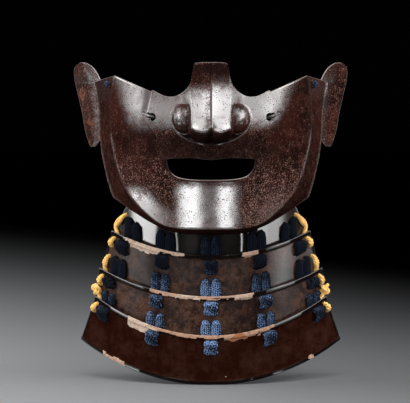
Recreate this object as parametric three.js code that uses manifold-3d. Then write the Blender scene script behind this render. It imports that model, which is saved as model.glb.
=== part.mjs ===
// Half mask of russet iron with a laced throat guard of four lames.
// Millimetres, +Z up, +X to the viewer's right, the face looks along -Y.
// The origin is the chin seat: the spot inside the chin where the wearer's chin rests.
import * as THREE from 'three';
import { mergeVertices } from 'three/addons/utils/BufferGeometryUtils.js';
import ManifoldModule from 'manifold-3d';

const solid = await ManifoldModule();
solid.setup();

// Walls and clearances
const MASK_WALL = 1.6;
const EAR_WALL = 1.6;
const LAME_WALL = 1.4;
const GAP = 0.35;

// The back edge of the mask and all the lames turn about one upright axis
const AXIS_Y = 119;
const JAW_RADIUS = 97;
const JAW_LOW = -13.5;
const JAW_RISE = 29.5;
const JAW_CORNER = 77;

// Face: half-width of the ellipse that the cheeks follow, and the boss of the chin
const FACE_HALF = 94;
const CHIN_BOSS = { out: 1, wide: 24, tall: 60, z: 4 };

// Front line of the face by height, and how deep the cheeks run back there
const PROFILE = [
  { z: -14, front: 3.6, depth: 93 },
  { z: -9, front: -0.5, depth: 93 },
  { z: -7, front: -0.85, depth: 93 },
  { z: -4, front: -0.6, depth: 93 },
  { z: 4, front: 0, depth: 92.5 },
  { z: 14, front: 0.73, depth: 92 },
  { z: 20, front: 1.2, depth: 91 },
  { z: 25, front: 1.65, depth: 90 },
  { z: 29, front: 2.15, depth: 90 },
  { z: 44, front: 4.5, depth: 88 },
  { z: 56, front: 6.3, depth: 86 },
  { z: 66, front: 8.2, depth: 84.5 },
  { z: 72, front: 9.8, depth: 83.5 },
  { z: 80, front: 12.4, depth: 81.5 },
  { z: 90, front: 15.9, depth: 79 },
  { z: 100, front: 19.4, depth: 76 },
  { z: 110, front: 22.5, depth: 74 },
  { z: 118, front: 24.5, depth: 72 },
];

// Main plate from the chin's middle up to the temple, right half:
// edge of the mouth and nose opening, jaw crease, and back edge
const MAIN = [
  { name: 'chin', openX: 0, openZ: 28.2, foldX: 0, foldZ: -8, edgeX: 0, edgeZ: -13.5 },
  { name: 'chin side', openX: 17, openZ: 28.8, foldX: 22, foldZ: -7.8, edgeX: 23, edgeZ: -12.7 },
  { name: 'chin corner', openX: 27, openZ: 31, foldX: 38, foldZ: -5, edgeX: 41, edgeZ: -9 },
  { name: 'jaw', openX: 32, openZ: 36, foldX: 51, foldZ: 4, edgeX: 57, edgeZ: -1.5 },
  { name: 'jaw corner', openX: 33.8, openZ: 42, foldX: 64, foldZ: 20, edgeX: 77, edgeZ: 16 },
  { name: 'jaw side', openX: 34.5, openZ: 50, foldX: 70, foldZ: 34, edgeX: 84, edgeZ: 30 },
  { name: 'low cheek', openX: 36, openZ: 60, foldX: 74.5, foldZ: 50, edgeX: 86.5, edgeZ: 47 },
  { name: 'cheek', openX: 37, openZ: 70, foldX: 77.5, foldZ: 68, edgeX: 87.5, edgeZ: 65 },
  { name: 'high cheek', openX: 38, openZ: 81, foldX: 77, foldZ: 88, edgeX: 88.5, edgeZ: 85 },
  { name: 'temple', openX: 39.5, openZ: 92.3, foldX: 74.5, foldZ: 107, edgeX: 89, edgeZ: 101 },
];
const MAIN_STEPS = 18;
const FLANGE_STEPS = 2;
const CHEEK_STEPS = 5;

// Nose: how far the ridge stands out of the face by height, and its half-width
const NOSE = [
  { z: 54.5, ridge: 0, half: 13.6 },
  { z: 56, ridge: 4, half: 13.8 },
  { z: 58, ridge: 11, half: 14 },
  { z: 60, ridge: 17.5, half: 14.3 },
  { z: 62, ridge: 22, half: 14.4 },
  { z: 64, ridge: 23.8, half: 14.5 },
  { z: 66, ridge: 23.4, half: 14.6 },
  { z: 70, ridge: 21, half: 14.6 },
  { z: 75, ridge: 18.1, half: 14.6 },
  { z: 80, ridge: 15.4, half: 14.5 },
  { z: 85, ridge: 12.9, half: 14.4 },
  { z: 90, ridge: 10.7, half: 14.3 },
  { z: 96, ridge: 8.5, half: 14 },
  { z: 100, ridge: 7.4, half: 13.8 },
  { z: 104, ridge: 6.7, half: 13.6 },
  { z: 110, ridge: 6.3, half: 13.6 },
  { z: 118, ridge: 6.4, half: 13.6 },
];
const CROWN = { fall: 0.15, edge: 0.97, steep: 0.2, wide: 0.5, low: 76, high: 98 };
const WING = { x: 20.2, z: 75, wide: 9.2, tall: 11.2, out: 9.6, power: 0.6 };
const NOSE_LIFT = 2.6;
const NOSE_COLUMNS = [0, 4.5, 9, 12, 14.2, 15.8, 17.6, 20.2, 23.4, 26.6, 29.4, 35, 41.5, 48.5];
const NOSE_ROWS = [51, 54.5, 57, 59, 61.5, 65, 70, 75, 80, 84, 87.5];
const NOSE_TOP_STEPS = 3;
const NOSE_FREE = 29;

// Edges of the nose plate: lip line and eye line across, side line by height
const LIP = [
  { x: 0, z: 44.5 },
  { x: 8, z: 45.3 },
  { x: 15, z: 46 },
  { x: 26, z: 45.6 },
  { x: 48, z: 44.5 },
];
const EYE_LINE = [
  { x: 0, z: 117 },
  { x: 10, z: 116.6 },
  { x: 13, z: 115 },
  { x: 14.2, z: 109 },
  { x: 15.2, z: 103 },
  { x: 17.5, z: 98.5 },
  { x: 21.5, z: 94.4 },
  { x: 26.5, z: 91.6 },
  { x: 32, z: 91 },
  { x: 38, z: 92 },
  { x: 48, z: 95.8 },
];
const SIDE_LINE = [
  { z: 44, x: 35.4 },
  { z: 50, x: 37 },
  { z: 56, x: 38.4 },
  { z: 63, x: 41.6 },
  { z: 70, x: 46.2 },
  { z: 76, x: 48.5 },
  { z: 82, x: 47.8 },
  { z: 95, x: 44.8 },
];

// Hooks of the nose plate: bent wire from the cheek into a round hole of the nose plate
const HOOK = { wire: 2, rootX: 51.5, rootZ: 78.6, holeX: 43.8, holeZ: 75.8, hole: 6.8, clear: 0.8 };
const HOOK_PATH = [
  { from: 'root', x: -1.4, y: 3.2, z: 0 },
  { from: 'root', x: 0, y: 0, z: 0 },
  { from: 'root', x: -0.6, y: -3.3, z: -0.3 },
  { from: 'hole', x: 2.6, y: -2.3, z: 0.8 },
  { from: 'hole', x: 0, y: -0.8, z: 0 },
  { from: 'hole', x: -0.2, y: 1.2, z: -0.1 },
];
const DRILL = 16;

// Cord stubs in the temple holes
const TIE = { x: 80.5, z: 99.5, hole: 4.8, cord: 3.6, head: 6, cap: 4 };
const TIE_RISE = { tail: 2, shoulder: 1, dome: 2.2, crown: 2.6 };

// Ears by height: front edge and outer edge, swept back from the cheek
const EAR_SWEEP = 0.7;
const EAR_STEPS = { up: 11, across: 3 };
const EAR = [
  { z: 52.5, front: 91.5, outer: 94.8 },
  { z: 56.5, front: 88.5, outer: 96.4 },
  { z: 65, front: 85.5, outer: 99 },
  { z: 80, front: 84.5, outer: 101.8 },
  { z: 94.5, front: 85, outer: 105.3 },
  { z: 104, front: 87.5, outer: 107.4 },
  { z: 111, front: 91, outer: 108 },
  { z: 115, front: 94.5, outer: 107 },
  { z: 117.6, front: 99, outer: 103.5 },
];

// Lames: top and bottom height at the front, radius and flare, half-angle of the ends,
// how far the ends stand above the front and draw in, and the angles of the lacing columns
const LAMES = [
  {
    top: -8.5, bottom: -38, radius: 96.1, flare: 0.03, topEnd: 42, bottomEnd: 53,
    topRise: 0, bottomRise: 16.6, draw: 1.6, columns: [-36.8, -21, 0, 21, 36.8],
  },
  {
    top: -29.1, bottom: -69, radius: 102, flare: 0.04, topEnd: 48.2, bottomEnd: 55.5,
    topRise: 16.6, bottomRise: 20, draw: 0, columns: [-41.3, -21, 0, 21, 41.3],
  },
  {
    top: -60, bottom: -98, radius: 107.8, flare: 0.04, topEnd: 52.5, bottomEnd: 56,
    topRise: 18.4, bottomRise: 26, draw: 0, columns: [-45.8, -22.3, 0, 22.3, 45.8],
  },
  {
    top: -89, bottom: -125.5, radius: 113.6, flare: 0.08, topEnd: 51.1, bottomEnd: 59.3,
    topRise: 26, bottomRise: 28, draw: 0, columns: [-45.8, -22.7, 0, 22.7, 45.8],
  },
];
const TUCK = 5;
const RIM = { wide: 2.4, out: 1.1, slope: 0.8 };
const LAME_STEPS = 14;

// Lacing: braid size, and sideways shifts and drops below the top edge of a lame
const BRAID = { wide: 6.6, thick: 2.6, squeezed: 4.4 };
const PAIR = { side: 3.9, length: 12.3, drift: 0.4, head: 1.2, shoulder: 1, swell: 3, foot: 1, below: 5.9 };
const CROSS = { side: 3.2, top: 4.8, bottom: 13, share: 0.45, over: 1.4, tail: 2.5 };
const DIVE = 0.8;
const HOLE = { tall: 4.2, deep: 9, pair: 1.6, cross: 1.2, edge: 1 };

// Yellow cord along the ends
const EDGE = { inset: 3.6, wide: 3.8, squeezed: 3.2, first: 15, stitch: 11, low: 11.4, below: 17, tail: 1 };
const KNOT = { wide: 4.2, out: 2.4, tall: 3.2, shift: 2.2, drop: 16 };


function finish(name, color, roughness, metalness) {
  return new THREE.MeshStandardMaterial({ name, color, roughness, metalness });
}

const iron = finish('russet_iron', 0x4a2a20, 0.45, 0.6);
const lacquer = finish('brown_lacquer', 0x1c1210, 0.25, 0.1);
const blueBraid = finish('blue_braid', 0x1d2440, 0.9, 0);
const yellowCord = finish('yellow_cord', 0xb9862b, 0.9, 0);
const wire = finish('hook_wire', 0x3a3030, 0.3, 0.9);

// Smooth value from a table: cubic between rows, slopes from the neighbours
function valueAt(rows, key, column, at) {
  const last = rows.length - 1;
  if (at <= rows[0][key]) return rows[0][column];
  if (at >= rows[last][key]) return rows[last][column];
  let i = 0;
  while (at > rows[i + 1][key]) i += 1;
  const slope = (a, b) => (rows[b][column] - rows[a][column]) / (rows[b][key] - rows[a][key]);
  const span = rows[i + 1][key] - rows[i][key];
  const t = (at - rows[i][key]) / span;
  const startSlope = slope(Math.max(i - 1, 0), i + 1) * span;
  const endSlope = slope(i, Math.min(i + 2, last)) * span;
  const rise = rows[i + 1][column] - rows[i][column];
  const a = startSlope + endSlope - 2 * rise;
  const b = 3 * rise - 2 * startSlope - endSlope;
  return rows[i][column] + t * (startSlope + t * (b + t * a));
}

function smoothStep(from, to, at) {
  const t = Math.min(Math.max((at - from) / (to - from), 0), 1);
  return t * t * (3 - 2 * t);
}

// Depth of the face's outer skin at a spot of the front view
function face(x, z) {
  const share = Math.min(Math.abs(x) / FACE_HALF, 0.98);
  const round = valueAt(PROFILE, 'z', 'depth', z) * (1 - Math.sqrt(1 - share * share));
  const boss = Math.exp(-((x / CHIN_BOSS.wide) ** 2) - ((z - CHIN_BOSS.z) / CHIN_BOSS.tall) ** 2);
  return valueAt(PROFILE, 'z', 'front', z) + round - CHIN_BOSS.out * boss;
}

// How far the nose and its wings stand out of the face
function noseRelief(x, z) {
  const q = Math.abs(x) / valueAt(NOSE, 'z', 'half', z);
  const width = CROWN.steep + (CROWN.wide - CROWN.steep) * smoothStep(CROWN.low, CROWN.high, z);
  const flank = Math.exp(-((Math.max(q - CROWN.edge, 0) / width) ** 2));
  const ridge = valueAt(NOSE, 'z', 'ridge', z) * (1 - CROWN.fall * Math.min(q, 1.5)) * flank;
  const away = ((Math.abs(x) - WING.x) / WING.wide) ** 2 + ((z - WING.z) / WING.tall) ** 2;
  const wing = WING.out * Math.max(1 - away, 0) ** WING.power;
  return Math.max(ridge, wing);
}

// Mean direction of a path at one of its points
function heading(before, here, after) {
  const inward = here.clone().sub(before).normalize();
  const onward = after.clone().sub(here).normalize();
  return inward.add(onward).normalize();
}

// Closed plate from a grid of outer points, each square split along its shorter diagonal;
// the wall grows inwards along the normals
function plate(points, wall) {
  const nu = points.length;
  const nv = points[0].length;
  const at = (i, j) => points[Math.min(Math.max(i, 0), nu - 1)][Math.min(Math.max(j, 0), nv - 1)];
  const places = [];
  const inner = [];
  for (let i = 0; i < nu; i += 1) {
    for (let j = 0; j < nv; j += 1) {
      const across = heading(at(i - 1, j), at(i, j), at(i + 1, j));
      const up = heading(at(i, j - 1), at(i, j), at(i, j + 1));
      const normal = across.cross(up).normalize();
      places.push(...at(i, j).toArray());
      inner.push(...at(i, j).clone().addScaledVector(normal, -wall).toArray());
    }
  }
  const outside = (i, j) => i * nv + j;
  const inside = (i, j) => nu * nv + i * nv + j;
  const index = [];
  const quad = (a, b, c, d) => index.push(a, b, c, a, c, d);
  for (let i = 0; i < nu - 1; i += 1) {
    for (let j = 0; j < nv - 1; j += 1) {
      const corners = [[i, j], [i + 1, j], [i + 1, j + 1], [i, j + 1]];
      const rising = at(i, j).distanceTo(at(i + 1, j + 1));
      const falling = at(i + 1, j).distanceTo(at(i, j + 1));
      if (falling < rising) corners.push(corners.shift());
      const [a, b, c, d] = corners;
      quad(outside(...a), outside(...b), outside(...c), outside(...d));
      quad(inside(...a), inside(...d), inside(...c), inside(...b));
    }
    quad(inside(i, 0), inside(i + 1, 0), outside(i + 1, 0), outside(i, 0));
    quad(outside(i, nv - 1), outside(i + 1, nv - 1), inside(i + 1, nv - 1), inside(i, nv - 1));
  }
  for (let j = 0; j < nv - 1; j += 1) {
    quad(outside(0, j), outside(0, j + 1), inside(0, j + 1), inside(0, j));
    quad(inside(nu - 1, j), inside(nu - 1, j + 1), outside(nu - 1, j + 1), outside(nu - 1, j));
  }
  const geometry = new THREE.BufferGeometry();
  geometry.setAttribute('position', new THREE.Float32BufferAttribute([...places, ...inner], 3));
  geometry.setIndex(index);
  return geometry;
}

// Joins and cuts
function toSolid(geometry) {
  const bare = new THREE.BufferGeometry();
  bare.setAttribute('position', geometry.getAttribute('position'));
  if (geometry.getIndex()) bare.setIndex(geometry.getIndex());
  const welded = mergeVertices(bare, 1e-4);
  return new solid.Manifold(new solid.Mesh({
    numProp: 3,
    vertProperties: new Float32Array(welded.getAttribute('position').array),
    triVerts: new Uint32Array(welded.getIndex().array),
  }));
}

function fromSolid(body) {
  const mesh = body.getMesh();
  const places = [];
  for (let v = 0; v < mesh.numVert; v += 1) {
    for (let k = 0; k < 3; k += 1) places.push(mesh.vertProperties[v * mesh.numProp + k]);
  }
  const geometry = new THREE.BufferGeometry();
  geometry.setAttribute('position', new THREE.Float32BufferAttribute(places, 3));
  geometry.setIndex([...mesh.triVerts]);
  return geometry;
}

function cut(geometry, cutters) {
  if (!cutters.length) return geometry;
  const tools = solid.Manifold.union(cutters.map(toSolid));
  return fromSolid(toSolid(geometry).subtract(tools));
}

function join(geometries) {
  return fromSolid(solid.Manifold.union(geometries.map(toSolid)));
}

// Straight drill from front to back at a spot of the front view, turned to the skin
function drill(x, z, across) {
  const step = 0.5;
  const slopeX = (face(x + step, z) - face(x - step, z)) / (2 * step);
  const normal = new THREE.Vector3(slopeX, -1, 0).normalize();
  const tool = new THREE.CylinderGeometry(across / 2, across / 2, DRILL, 8);
  const turn = new THREE.Quaternion().setFromUnitVectors(new THREE.Vector3(0, 1, 0), normal);
  const move = new THREE.Matrix4().makeRotationFromQuaternion(turn).setPosition(x, face(x, z), z);
  return tool.applyMatrix4(move);
}

// Spot on a cylinder about the common axis
function around(angle, radius, z) {
  return new THREE.Vector3(radius * Math.sin(angle), AXIS_Y - radius * Math.cos(angle), z);
}

function curveThrough(points) {
  return new THREE.CatmullRomCurve3(points, false, 'catmullrom', 0.5);
}

// Both halves of a row table as one curve from the left temple to the right one
function mirroredCurve(rows, place) {
  const right = rows.map(place);
  const left = rows.slice(1).reverse().map(place).map((p) => p.multiply(new THREE.Vector3(-1, 1, 1)));
  return curveThrough([...left, ...right]);
}

function mainPoints() {
  const open = mirroredCurve(MAIN, (row) => new THREE.Vector3(row.openX, 0, row.openZ));
  const fold = mirroredCurve(MAIN, (row) => new THREE.Vector3(row.foldX, 0, row.foldZ));
  const edge = mirroredCurve(MAIN, (row) => new THREE.Vector3(row.edgeX, 0, row.edgeZ));
  const points = [];
  for (let i = 0; i <= 2 * MAIN_STEPS; i += 1) {
    const t = i / (2 * MAIN_STEPS);
    const inner = open.getPoint(t);
    const crease = fold.getPoint(t);
    const outer = edge.getPoint(t);
    crease.y = face(crease.x, crease.z);
    outer.y = AXIS_Y - Math.sqrt(JAW_RADIUS ** 2 - outer.x ** 2);
    const column = [];
    for (let j = 0; j < FLANGE_STEPS; j += 1) {
      column.push(outer.clone().lerp(crease, j / FLANGE_STEPS));
    }
    for (let j = 0; j <= CHEEK_STEPS; j += 1) {
      const spot = crease.clone().lerp(inner, j / CHEEK_STEPS);
      spot.y = face(spot.x, spot.z);
      column.push(spot);
    }
    points.push(column);
  }
  return points;
}

function nosePoints() {
  const full = [...NOSE_COLUMNS.slice(1).reverse().map((x) => -x), ...NOSE_COLUMNS];
  const wide = NOSE_COLUMNS[NOSE_COLUMNS.length - 1];
  return full.map((across) => {
    const lean = Math.abs(across);
    const top = valueAt(EYE_LINE, 'x', 'z', lean);
    const last = NOSE_ROWS[NOSE_ROWS.length - 1];
    const heights = [valueAt(LIP, 'x', 'z', lean), ...NOSE_ROWS];
    for (let k = 1; k <= NOSE_TOP_STEPS; k += 1) heights.push(last + ((top - last) * k) / NOSE_TOP_STEPS);
    return heights.map((z) => {
      const side = valueAt(SIDE_LINE, 'z', 'x', z);
      const stretch = (side - NOSE_FREE) / (wide - NOSE_FREE);
      const reach = lean <= NOSE_FREE ? lean : NOSE_FREE + (lean - NOSE_FREE) * stretch;
      const x = Math.sign(across) * reach;
      return new THREE.Vector3(x, face(x, z) - NOSE_LIFT - noseRelief(x, z), z);
    });
  });
}

// Sides: -1 is the viewer's left, 1 the right
function hookGeometry(side) {
  const spots = {
    root: new THREE.Vector3(HOOK.rootX, face(HOOK.rootX, HOOK.rootZ), HOOK.rootZ),
    hole: new THREE.Vector3(HOOK.holeX, face(HOOK.holeX, HOOK.holeZ) - NOSE_LIFT, HOOK.holeZ),
  };
  const bends = HOOK_PATH.map((row) => new THREE.Vector3(row.x, row.y, row.z).add(spots[row.from]));
  const path = curveThrough(bends);
  const ring = new THREE.Shape().absarc(0, 0, HOOK.wire / 2, 0, Math.PI * 2);
  const tube = new THREE.ExtrudeGeometry(ring, { steps: 10, extrudePath: path, curveSegments: 3 });
  return side > 0 ? tube : mirror(tube);
}

function mirror(geometry) {
  const flipped = toSolid(geometry).mirror([1, 0, 0]);
  return fromSolid(flipped);
}

// Back edge of the mask at a height, above the jaw corner
function backEdge(z) {
  const rows = MAIN.slice(4).map((row) => ({ z: row.edgeZ, x: row.edgeX }));
  const x = valueAt(rows, 'z', 'x', z);
  return { x, y: AXIS_Y - Math.sqrt(JAW_RADIUS ** 2 - x ** 2) };
}

// Spot on the flange by its front view, between the crease and the back edge
function flangeSpot(x, z) {
  const rows = MAIN.slice(4).map((row) => ({ z: row.foldZ, x: row.foldX }));
  const foldX = valueAt(rows, 'z', 'x', z);
  const foldY = face(foldX, z);
  const edge = backEdge(z);
  const share = (x - foldX) / (edge.x - foldX);
  const along = new THREE.Vector3(edge.x - foldX, edge.y - foldY, 0).normalize();
  const place = new THREE.Vector3(x, foldY + share * (edge.y - foldY), z);
  return { place, normal: new THREE.Vector3(along.y, -along.x, 0) };
}

function turnedTo(geometry, normal, place) {
  const turn = new THREE.Quaternion().setFromUnitVectors(new THREE.Vector3(0, 1, 0), normal);
  return geometry.applyMatrix4(new THREE.Matrix4().makeRotationFromQuaternion(turn).setPosition(place));
}

// Cord stub: a neck through the hole with a round head outside and a flat one inside
function tieGeometry(side) {
  const { place, normal } = flangeSpot(TIE.x, TIE.z);
  const clear = 2 * GAP;
  const outline = [
    new THREE.Vector2(0, -MASK_WALL - clear - TIE_RISE.tail),
    new THREE.Vector2(TIE.head / 2, -MASK_WALL - clear - TIE_RISE.tail),
    new THREE.Vector2(TIE.head / 2, -MASK_WALL - clear),
    new THREE.Vector2(TIE.cord / 2, -MASK_WALL - clear),
    new THREE.Vector2(TIE.cord / 2, GAP),
    new THREE.Vector2(TIE.head / 2, GAP),
    new THREE.Vector2(TIE.head / 2, GAP + TIE_RISE.shoulder),
    new THREE.Vector2(TIE.cap / 2, GAP + TIE_RISE.dome),
    new THREE.Vector2(0, GAP + TIE_RISE.crown),
  ];
  const stub = turnedTo(new THREE.LatheGeometry(outline, 10), normal, place);
  return side > 0 ? stub : mirror(stub);
}

function tieHole() {
  const { place, normal } = flangeSpot(TIE.x, TIE.z);
  return turnedTo(new THREE.CylinderGeometry(TIE.hole / 2, TIE.hole / 2, DRILL, 8), normal, place);
}

function earPoints() {
  const front = curveThrough(EAR.map((row) => new THREE.Vector3(row.front, 0, row.z)));
  const outer = curveThrough(EAR.map((row) => new THREE.Vector3(row.outer, 0, row.z)));
  const points = [];
  for (let i = 0; i <= EAR_STEPS.across; i += 1) {
    const row = [];
    for (let j = 0; j <= EAR_STEPS.up; j += 1) {
      const t = j / EAR_STEPS.up;
      const spot = front.getPoint(t).lerp(outer.getPoint(t), i / EAR_STEPS.across);
      const edge = backEdge(spot.z);
      spot.y = edge.y + 2 * GAP + EAR_SWEEP * (spot.x - edge.x + MASK_WALL + GAP);
      row.push(spot);
    }
    points.push(row);
  }
  return points;
}

// Height of a lame's top or bottom edge at an angle
function jawEdge(x) {
  return JAW_LOW + JAW_RISE * (Math.abs(x) / JAW_CORNER) ** 3;
}

function lameTop(lame, angle) {
  if (lame === LAMES[0]) return jawEdge(lame.radius * Math.sin(angle)) + TUCK;
  const share = Math.sin(angle) / Math.sin(THREE.MathUtils.degToRad(lame.topEnd));
  return lame.top + lame.topRise * share * share;
}

function lameBottom(lame, angle) {
  const share = Math.sin(angle) / Math.sin(THREE.MathUtils.degToRad(lame.bottomEnd));
  return lame.bottom + lame.bottomRise * share * share;
}

function lameRadius(lame, angle, z) {
  const flared = lame.radius + lame.flare * Math.max(lameTop(lame, angle) - z, 0);
  return flared - lame.draw * Math.sin(angle) ** 2;
}

function lameEnd(lame, share) {
  return THREE.MathUtils.degToRad(lame.topEnd + (lame.bottomEnd - lame.topEnd) * share);
}

// Rows of a lame from bottom to top: share of the height, drop from the top, rim
function lamePoints(lame) {
  const lowest = lame === LAMES[LAMES.length - 1];
  const rimmed = lame !== LAMES[0];
  const points = [];
  for (let i = 0; i <= LAME_STEPS; i += 1) {
    const u = (2 * i) / LAME_STEPS - 1;
    const column = [];
    const put = (share, drop, out) => {
      const angle = u * lameEnd(lame, share);
      const top = lameTop(lame, angle);
      const bottom = lameBottom(lame, angle);
      const z = top + (bottom - top) * share - drop;
      column.push(around(angle, lameRadius(lame, angle, z) + out, z));
    };
    if (lowest) {
      put(1, 0, RIM.out);
      put(1, -RIM.wide, RIM.out);
      put(1, -RIM.wide - RIM.slope, 0);
    } else {
      put(1, 0, 0);
    }
    if (rimmed) {
      put(0, RIM.wide + RIM.slope, 0);
      put(0, RIM.wide, RIM.out);
      put(0, 0, RIM.out);
    } else {
      put(0, 0, 0);
    }
    points.push(column);
  }
  return points;
}

// Direction along a lame's top edge at an angle
function alongRim(lame, angle) {
  const step = 0.01;
  const radius = lame.radius;
  const from = around(angle - step, radius, lameTop(lame, angle - step));
  return around(angle + step, radius, lameTop(lame, angle + step)).sub(from).normalize();
}

// Box cutter for a lacing hole: through the wall, along the rim
function lacingHole(lame, angle, z, wide) {
  const tool = new THREE.BoxGeometry(wide, HOLE.deep, HOLE.tall);
  const along = alongRim(lame, angle);
  const inward = new THREE.Vector3(-Math.sin(angle), Math.cos(angle), 0);
  const up = new THREE.Vector3().crossVectors(along, inward);
  const turn = new THREE.Matrix4().makeBasis(along, inward, up);
  turn.setPosition(around(angle, lameRadius(lame, angle, z) - LAME_WALL / 2, z));
  return tool.applyMatrix4(turn);
}

const FRONT = GAP + BRAID.thick / 2;
const BACK = -LAME_WALL - 2 * GAP - BRAID.thick / 2;

// Angle of a column's crossing and of its pair on a lame, and the drop to the next rim
function crossAngle(index, column) {
  return THREE.MathUtils.degToRad(LAMES[index].columns[column]);
}

function pairAngle(index, column) {
  return THREE.MathUtils.lerp(crossAngle(index, column), crossAngle(index + 1, column), PAIR.drift);
}

function nextRimDrop(index, angle) {
  return lameTop(LAMES[index], angle) - lameTop(LAMES[index + 1], angle);
}

function crossBottom(index, angle) {
  if (index === LAMES.length - 1) return CROSS.bottom;
  return Math.min(CROSS.bottom, CROSS.share * nextRimDrop(index, angle));
}

function pairDrop(index, angle) {
  const wanted = nextRimDrop(index, angle) - PAIR.length;
  return index === 0 ? wanted : Math.max(crossBottom(index, angle) + PAIR.below, wanted);
}

// One stop of a cord: lame, angle, sideways shift, drop from the top edge, level and width
function stop(index, angle, side, drop, level, wide) {
  const lame = LAMES[index];
  const turned = angle + side / lame.radius;
  const z = lameTop(lame, turned) - drop;
  const radius = lameRadius(lame, turned, z) + level;
  return { place: around(turned, radius, z), across: alongRim(lame, turned), wide };
}

// Flat cord through its stops: four-cornered sections turned along the path
function strap(stops, thick) {
  const places = [];
  const last = stops.length - 1;
  stops.forEach((spot, i) => {
    const before = stops[Math.max(i - 1, 0)].place;
    const after = stops[Math.min(i + 1, last)].place;
    const along = heading(before, spot.place, after);
    const over = new THREE.Vector3().crossVectors(along, spot.across).normalize();
    const half = thick / 2;
    for (const [a, b] of [[-1, -1], [1, -1], [1, 1], [-1, 1]]) {
      const corner = spot.place.clone();
      corner.addScaledVector(spot.across, (a * spot.wide) / 2);
      corner.addScaledVector(over, b * half);
      places.push(...corner.toArray());
    }
  });
  const index = [];
  for (let i = 0; i < last; i += 1) {
    for (let k = 0; k < 4; k += 1) {
      const a = i * 4 + k;
      const b = i * 4 + ((k + 1) % 4);
      index.push(a, b, b + 4, a, b + 4, a + 4);
    }
  }
  index.push(0, 2, 1, 0, 3, 2);
  const end = last * 4;
  index.push(end, end + 1, end + 2, end, end + 2, end + 3);
  const geometry = new THREE.BufferGeometry();
  geometry.setAttribute('position', new THREE.Float32BufferAttribute(places, 3));
  geometry.setIndex(index);
  return geometry;
}

// One cord of a column: out of a lame, down behind the next rim, out, across and in again
function braidStops(column, start) {
  const stops = [];
  let side = start;
  for (let g = 0; g < LAMES.length - 1; g += 1) {
    const above = pairAngle(g, column);
    const below = crossAngle(g + 1, column);
    const drop = pairDrop(g, above);
    const rim = nextRimDrop(g, above);
    if (g === 0) stops.push(stop(g, above, side * PAIR.side, drop - DIVE - PAIR.head, BACK, BRAID.squeezed));
    stops.push(stop(g, above, side * PAIR.side, drop - DIVE, BACK, BRAID.squeezed));
    stops.push(stop(g, above, side * PAIR.side, drop + DIVE, FRONT, BRAID.squeezed + PAIR.shoulder));
    stops.push(stop(g, above, side * PAIR.side, drop + DIVE + PAIR.swell, FRONT, BRAID.wide));
    stops.push(stop(g, above, side * PAIR.side, rim - PAIR.foot, FRONT, BRAID.wide));
    stops.push(stop(g + 1, below, side * CROSS.side, CROSS.top - DIVE, BACK, BRAID.squeezed));
    stops.push(stop(g + 1, below, side * CROSS.side, CROSS.top + DIVE, FRONT, BRAID.squeezed));
    const low = crossBottom(g + 1, below);
    stops.push(stop(g + 1, below, 0, (CROSS.top + low) / 2, FRONT + (side > 0 ? CROSS.over : 0), BRAID.wide));
    stops.push(stop(g + 1, below, -side * CROSS.side, low - DIVE, FRONT, BRAID.squeezed));
    stops.push(stop(g + 1, below, -side * CROSS.side, low + DIVE, BACK, BRAID.squeezed));
    side = -side;
  }
  const last = LAMES.length - 1;
  const lowest = crossAngle(last, column);
  stops.push(stop(last, lowest, side * CROSS.side, CROSS.bottom + DIVE + CROSS.tail, BACK, BRAID.squeezed));
  return stops;
}

// Yellow cord: one stitch on each lame above a rim and one below it
function edgeAngle(index, side, drop) {
  const lame = LAMES[index];
  const share = drop / (lame.top - lame.bottom);
  return side * (lameEnd(lame, share) - EDGE.inset / lame.radius);
}

function edgeStops(side) {
  const stops = [];
  const put = (g, drop, level, wide) => stops.push(stop(g, edgeAngle(g, side, drop), 0, drop, level, wide));
  for (let g = 0; g < LAMES.length - 1; g += 1) {
    const drop = edgeDrop(g, side);
    const rim = nextRimDrop(g, edgeAngle(g, side, drop + EDGE.stitch));
    if (g === 0) put(g, drop - DIVE - EDGE.tail, BACK, EDGE.squeezed);
    put(g, drop - DIVE, BACK, EDGE.squeezed);
    put(g, drop + DIVE, FRONT, EDGE.wide);
    put(g, rim - PAIR.foot, FRONT, EDGE.wide);
    put(g + 1, CROSS.top - DIVE, BACK, EDGE.squeezed);
    put(g + 1, CROSS.top + DIVE, FRONT, EDGE.wide);
    put(g + 1, EDGE.low - DIVE, FRONT, EDGE.wide);
    put(g + 1, EDGE.low + DIVE, BACK, EDGE.squeezed);
  }
  put(LAMES.length - 1, CROSS.bottom + DIVE + EDGE.tail, BACK, EDGE.squeezed);
  return stops;
}

// Knot on the third lame's edge, just above the lowest rim
function knotGeometry(side) {
  const angle = edgeAngle(2, side, KNOT.drop) + (side * KNOT.shift) / LAMES[2].radius;
  const drop = nextRimDrop(2, angle) - KNOT.tall - 2 * GAP;
  const spot = stop(2, angle, 0, drop, GAP + KNOT.out, 0);
  const lump = new THREE.SphereGeometry(1, 6, 4).scale(KNOT.wide, KNOT.out, KNOT.tall);
  return lump.applyMatrix4(new THREE.Matrix4().makeRotationZ(angle).setPosition(spot.place));
}

function edgeDrop(index, side) {
  const rim = nextRimDrop(index, edgeAngle(index, side, EDGE.stitch + DIVE));
  return index === 0 ? rim - EDGE.first : Math.max(EDGE.below, rim - EDGE.stitch);
}

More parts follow.
